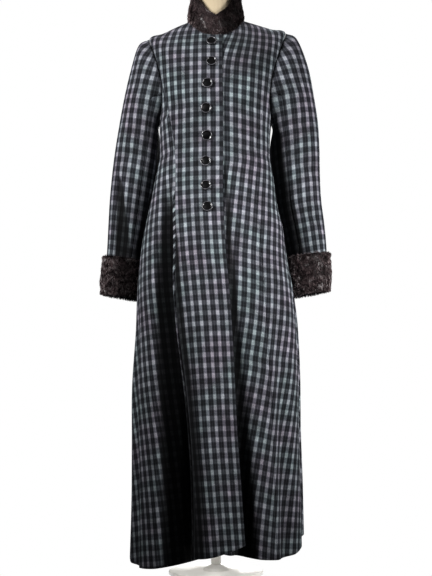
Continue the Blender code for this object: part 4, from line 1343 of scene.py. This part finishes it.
@dataclass
class Buttons:
    """The eight rimmed buttons down the front."""
    surface: CoatSurface
    material: bpy.types.Material
    radius: float = 0.014
    thickness: float = 0.0055
    rim: float = 0.0032
    dish: float = 0.0020
    steps: int = 48

    def profile(self) -> list[tuple[float, float]]:
        """The button's half section as (radius, height) points: a round rim about a dished, domed middle."""
        rim_middle = self.radius - 0.5 * self.rim
        points = [(0.0, 0.0), (self.radius - 0.0016, 0.0), (self.radius - 0.0005, 0.0006),
                  (self.radius, 0.0018), (self.radius, self.thickness - 0.0020)]
        for i in range(7):
            turn = math.pi * i / 6
            points.append((rim_middle + 0.5 * self.rim * math.cos(turn),
                           self.thickness - 0.0014 + 0.0014 * math.sin(turn)))
        low = self.thickness - self.dish
        points.append((self.radius - self.rim - 0.0004, low - 0.0004))
        for i in range(1, 7):
            share = i / 6
            points.append(((self.radius - self.rim - 0.0006) * (1.0 - share),
                           low - 0.0004 + 0.0011 * math.sin(0.5 * math.pi * share)))
        return points

    def build(self) -> None:
        """Make each button on its place, square to the lapping front."""
        cut = PANELS[0]
        for index, place in enumerate(BUTTONS, 1):
            levels = np.arange(100, 1400) * 0.01
            level = levels[np.argmin(np.abs(self.surface.point(cut, np.full_like(levels, 0.3), levels)[:, 2]
                                            - place.z))]
            shares = np.arange(500) * 0.002
            share = shares[np.argmin(np.abs(self.surface.point(cut, shares, np.full_like(shares, level))[:, 0]
                                            - place.x))]
            near_share, near_level = np.meshgrid(np.clip(share + np.array([-0.1, 0.0, 0.1]), 0.0, 1.0),
                                                 level + np.array([-0.25, 0.0, 0.25]))
            points = self.surface.point(cut, near_share, near_level)
            lifts = self.surface.lap_lift(cut, near_share, near_level)
            normal = self.surface.normal(cut, np.array([share]), np.array([level]))[0]
            normal = normal if normal[1] < 0 else -normal
            seat = points[1, 1] + normal * lifts[1, 1]
            bulge = float(np.max((points + normal * lifts[..., None] - seat) @ normal))
            shape = bmesh.new()
            line = [shape.verts.new((radius, 0.0, height)) for radius, height in self.profile()]
            edges = [shape.edges.new(pair) for pair in zip(line, line[1:])]
            bmesh.ops.spin(shape, geom=line + edges, cent=(0, 0, 0), axis=(0, 0, 1), angle=2 * math.pi,
                           steps=self.steps, use_merge=True)
            bmesh.ops.remove_doubles(shape, verts=shape.verts[:], dist=1e-6)
            bmesh.ops.recalc_face_normals(shape, faces=shape.faces[:])
            turn = Vector((0.0, 0.0, 1.0)).rotation_difference(Vector(normal)).to_matrix().to_4x4()
            centre = Vector(seat + normal * (bulge + SEAM_GAP))
            bmesh.ops.transform(shape, matrix=Matrix.Translation(centre) @ turn, verts=shape.verts[:])
            # the rim attribute marks where the horn's painted highlight lies
            wear_and_rim_highlight = shape.verts.layers.float.new("rim")
            back = turn.inverted() @ Matrix.Translation(-centre)
            for vert in shape.verts:
                near = back @ vert.co
                far = abs(math.hypot(near.x, near.y) - self.radius + 0.5 * self.rim) / (0.5 * self.rim)
                vert[wear_and_rim_highlight] = max(0.0, 1.0 - far * far) if near.z > 0.5 * self.thickness else 0.0
            data = bpy.data.meshes.new("button_%d_horn" % index)
            shape.to_mesh(data)
            shape.free()
            data.shade_smooth()
            made = linked(data.name, data)
            declare(made, Slot.HORN, self.material, "button_%d" % index)
        LOG.info("buttons made")


@dataclass
class Stand:
    """The dress form and its stand, whose model shapes stay and get their finishes."""
    cover: bpy.types.Material
    metal: bpy.types.Material

    def build(self) -> None:
        """Dress the form, its cap, the pole and the base plate."""
        for name, material in (("form_torso", self.cover), ("form_cap", self.cover),
                               ("stand_pole", self.metal), ("stand_base", self.metal)):
            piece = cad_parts[name]
            for slot in piece.material_slots:
                slot.material = material


@dataclass
class Studio:
    """The pale floor, the soft light and the camera."""
    camera_place: tuple[float, float, float] = (0.0, -2.8, 0.44)
    camera_tilt: float = 95.9
    focal: float = 67.3
    gamma: float = 0.86
    half_floor: float = 12.5

    @staticmethod
    def light(name: str, place: tuple[float, float, float], aim: tuple[float, float, float], size: float,
              power: float, spread: float = 180.0) -> bpy.types.Object:
        """Add a square soft light that faces a place and fans out by a spread in degrees."""
        data = bpy.data.lights.new(name, "AREA")
        data.shape = "SQUARE"
        data.size = size
        data.energy = power
        data.spread = math.radians(spread)
        lamp = linked(name, data)
        lamp.location = place
        lamp.rotation_euler = (Vector(aim) - Vector(place)).to_track_quat("-Z", "Y").to_euler()
        lamp.visible_camera = False
        return lamp

    @staticmethod
    def lit_floor() -> bpy.types.Material:
        """Make the white light table that the coat stands on, evenly bright on every side."""
        return new_material("light_table", {
            "Base Color": linear("000000"), "Specular IOR Level": 0.0, "Emission Color": linear("FFFFFF"),
            "Emission Strength": 1.0})[0]

    def build(self) -> None:
        """Make the floor, the lights, the world and the camera."""
        grid = bmesh.new()
        bmesh.ops.create_grid(grid, x_segments=4, y_segments=4, size=self.half_floor)
        data = bpy.data.meshes.new("floor")
        grid.to_mesh(data)
        grid.free()
        floor = linked("floor", data)
        floor.data.materials.append(self.lit_floor())
        self.light("left_softbox", (-1.75, -1.35, 1.85), (-0.04, 0.0, 1.06), 0.8, 7.2, 52.0)
        self.light("right_softbox", (2.0, -1.4, 1.15), (0.06, 0.0, 0.82), 0.9, 7.6, 49.0)
        self.light("back_softbox", (0.5, 2.6, 1.5), (0.0, 0.0, 0.95), 1.2, 24.0, 64.0)
        stand = bpy.data.collections.new("stand")
        for name in ("stand_base", "stand_pole"):
            stand.objects.link(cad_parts[name])
        wash = self.light("stand_wash", (0.0, 0.0, 2.4), (0.0, 0.0, 0.0), 2.0, 16.0, 60.0)
        wash.light_linking.receiver_collection = stand
        wash.light_linking.blocker_collection = stand
        floor.light_linking.receiver_collection = stand
        world = bpy.data.worlds.new("studio")
        world.use_nodes = True
        tree = world.node_tree
        back = tree.nodes["Background"]
        path = add_node(tree, "ShaderNodeLightPath").outputs["Is Camera Ray"]
        strength = add_node(tree, "ShaderNodeMapRange", {0: path, 3: 0.09, 4: 1.0})
        back.inputs[0].default_value = (1.0, 1.0, 1.0, 1.0)
        tree.links.new(strength.outputs[0], back.inputs[1])
        bpy.context.scene.world = world
        camera = linked("camera", bpy.data.cameras.new("camera"))
        camera.location = self.camera_place
        camera.rotation_euler = (math.radians(self.camera_tilt), 0.0, 0.0)
        camera.data.lens = self.focal
        bpy.context.scene.camera = camera
        bpy.context.scene.view_settings.view_transform = "Standard"
        bpy.context.scene.view_settings.gamma = self.gamma


def main() -> None:
    """Build the coat's looks in order."""
    logging.basicConfig(level=logging.INFO, format="%(name)s: %(message)s")
    Studio().build()
    surface = CoatSurface()
    Cloth(surface, Checked().material()).build()
    Fur(surface, Pelt().material()).build()
    Buttons(surface, Horn().material()).build()
    cover = Plain("cotton_jersey", "DCCDB2", "CDBB9C", 900.0, 0.85, 0.0002, sheen=0.2).material()
    metal = Plain("white_enamelled_steel", "ECEAE4", "E4E1DA", 60.0, 0.35, 0.00002, coat=0.2).material()
    Stand(cover, metal).build()


if __name__ == "__main__":
    main()
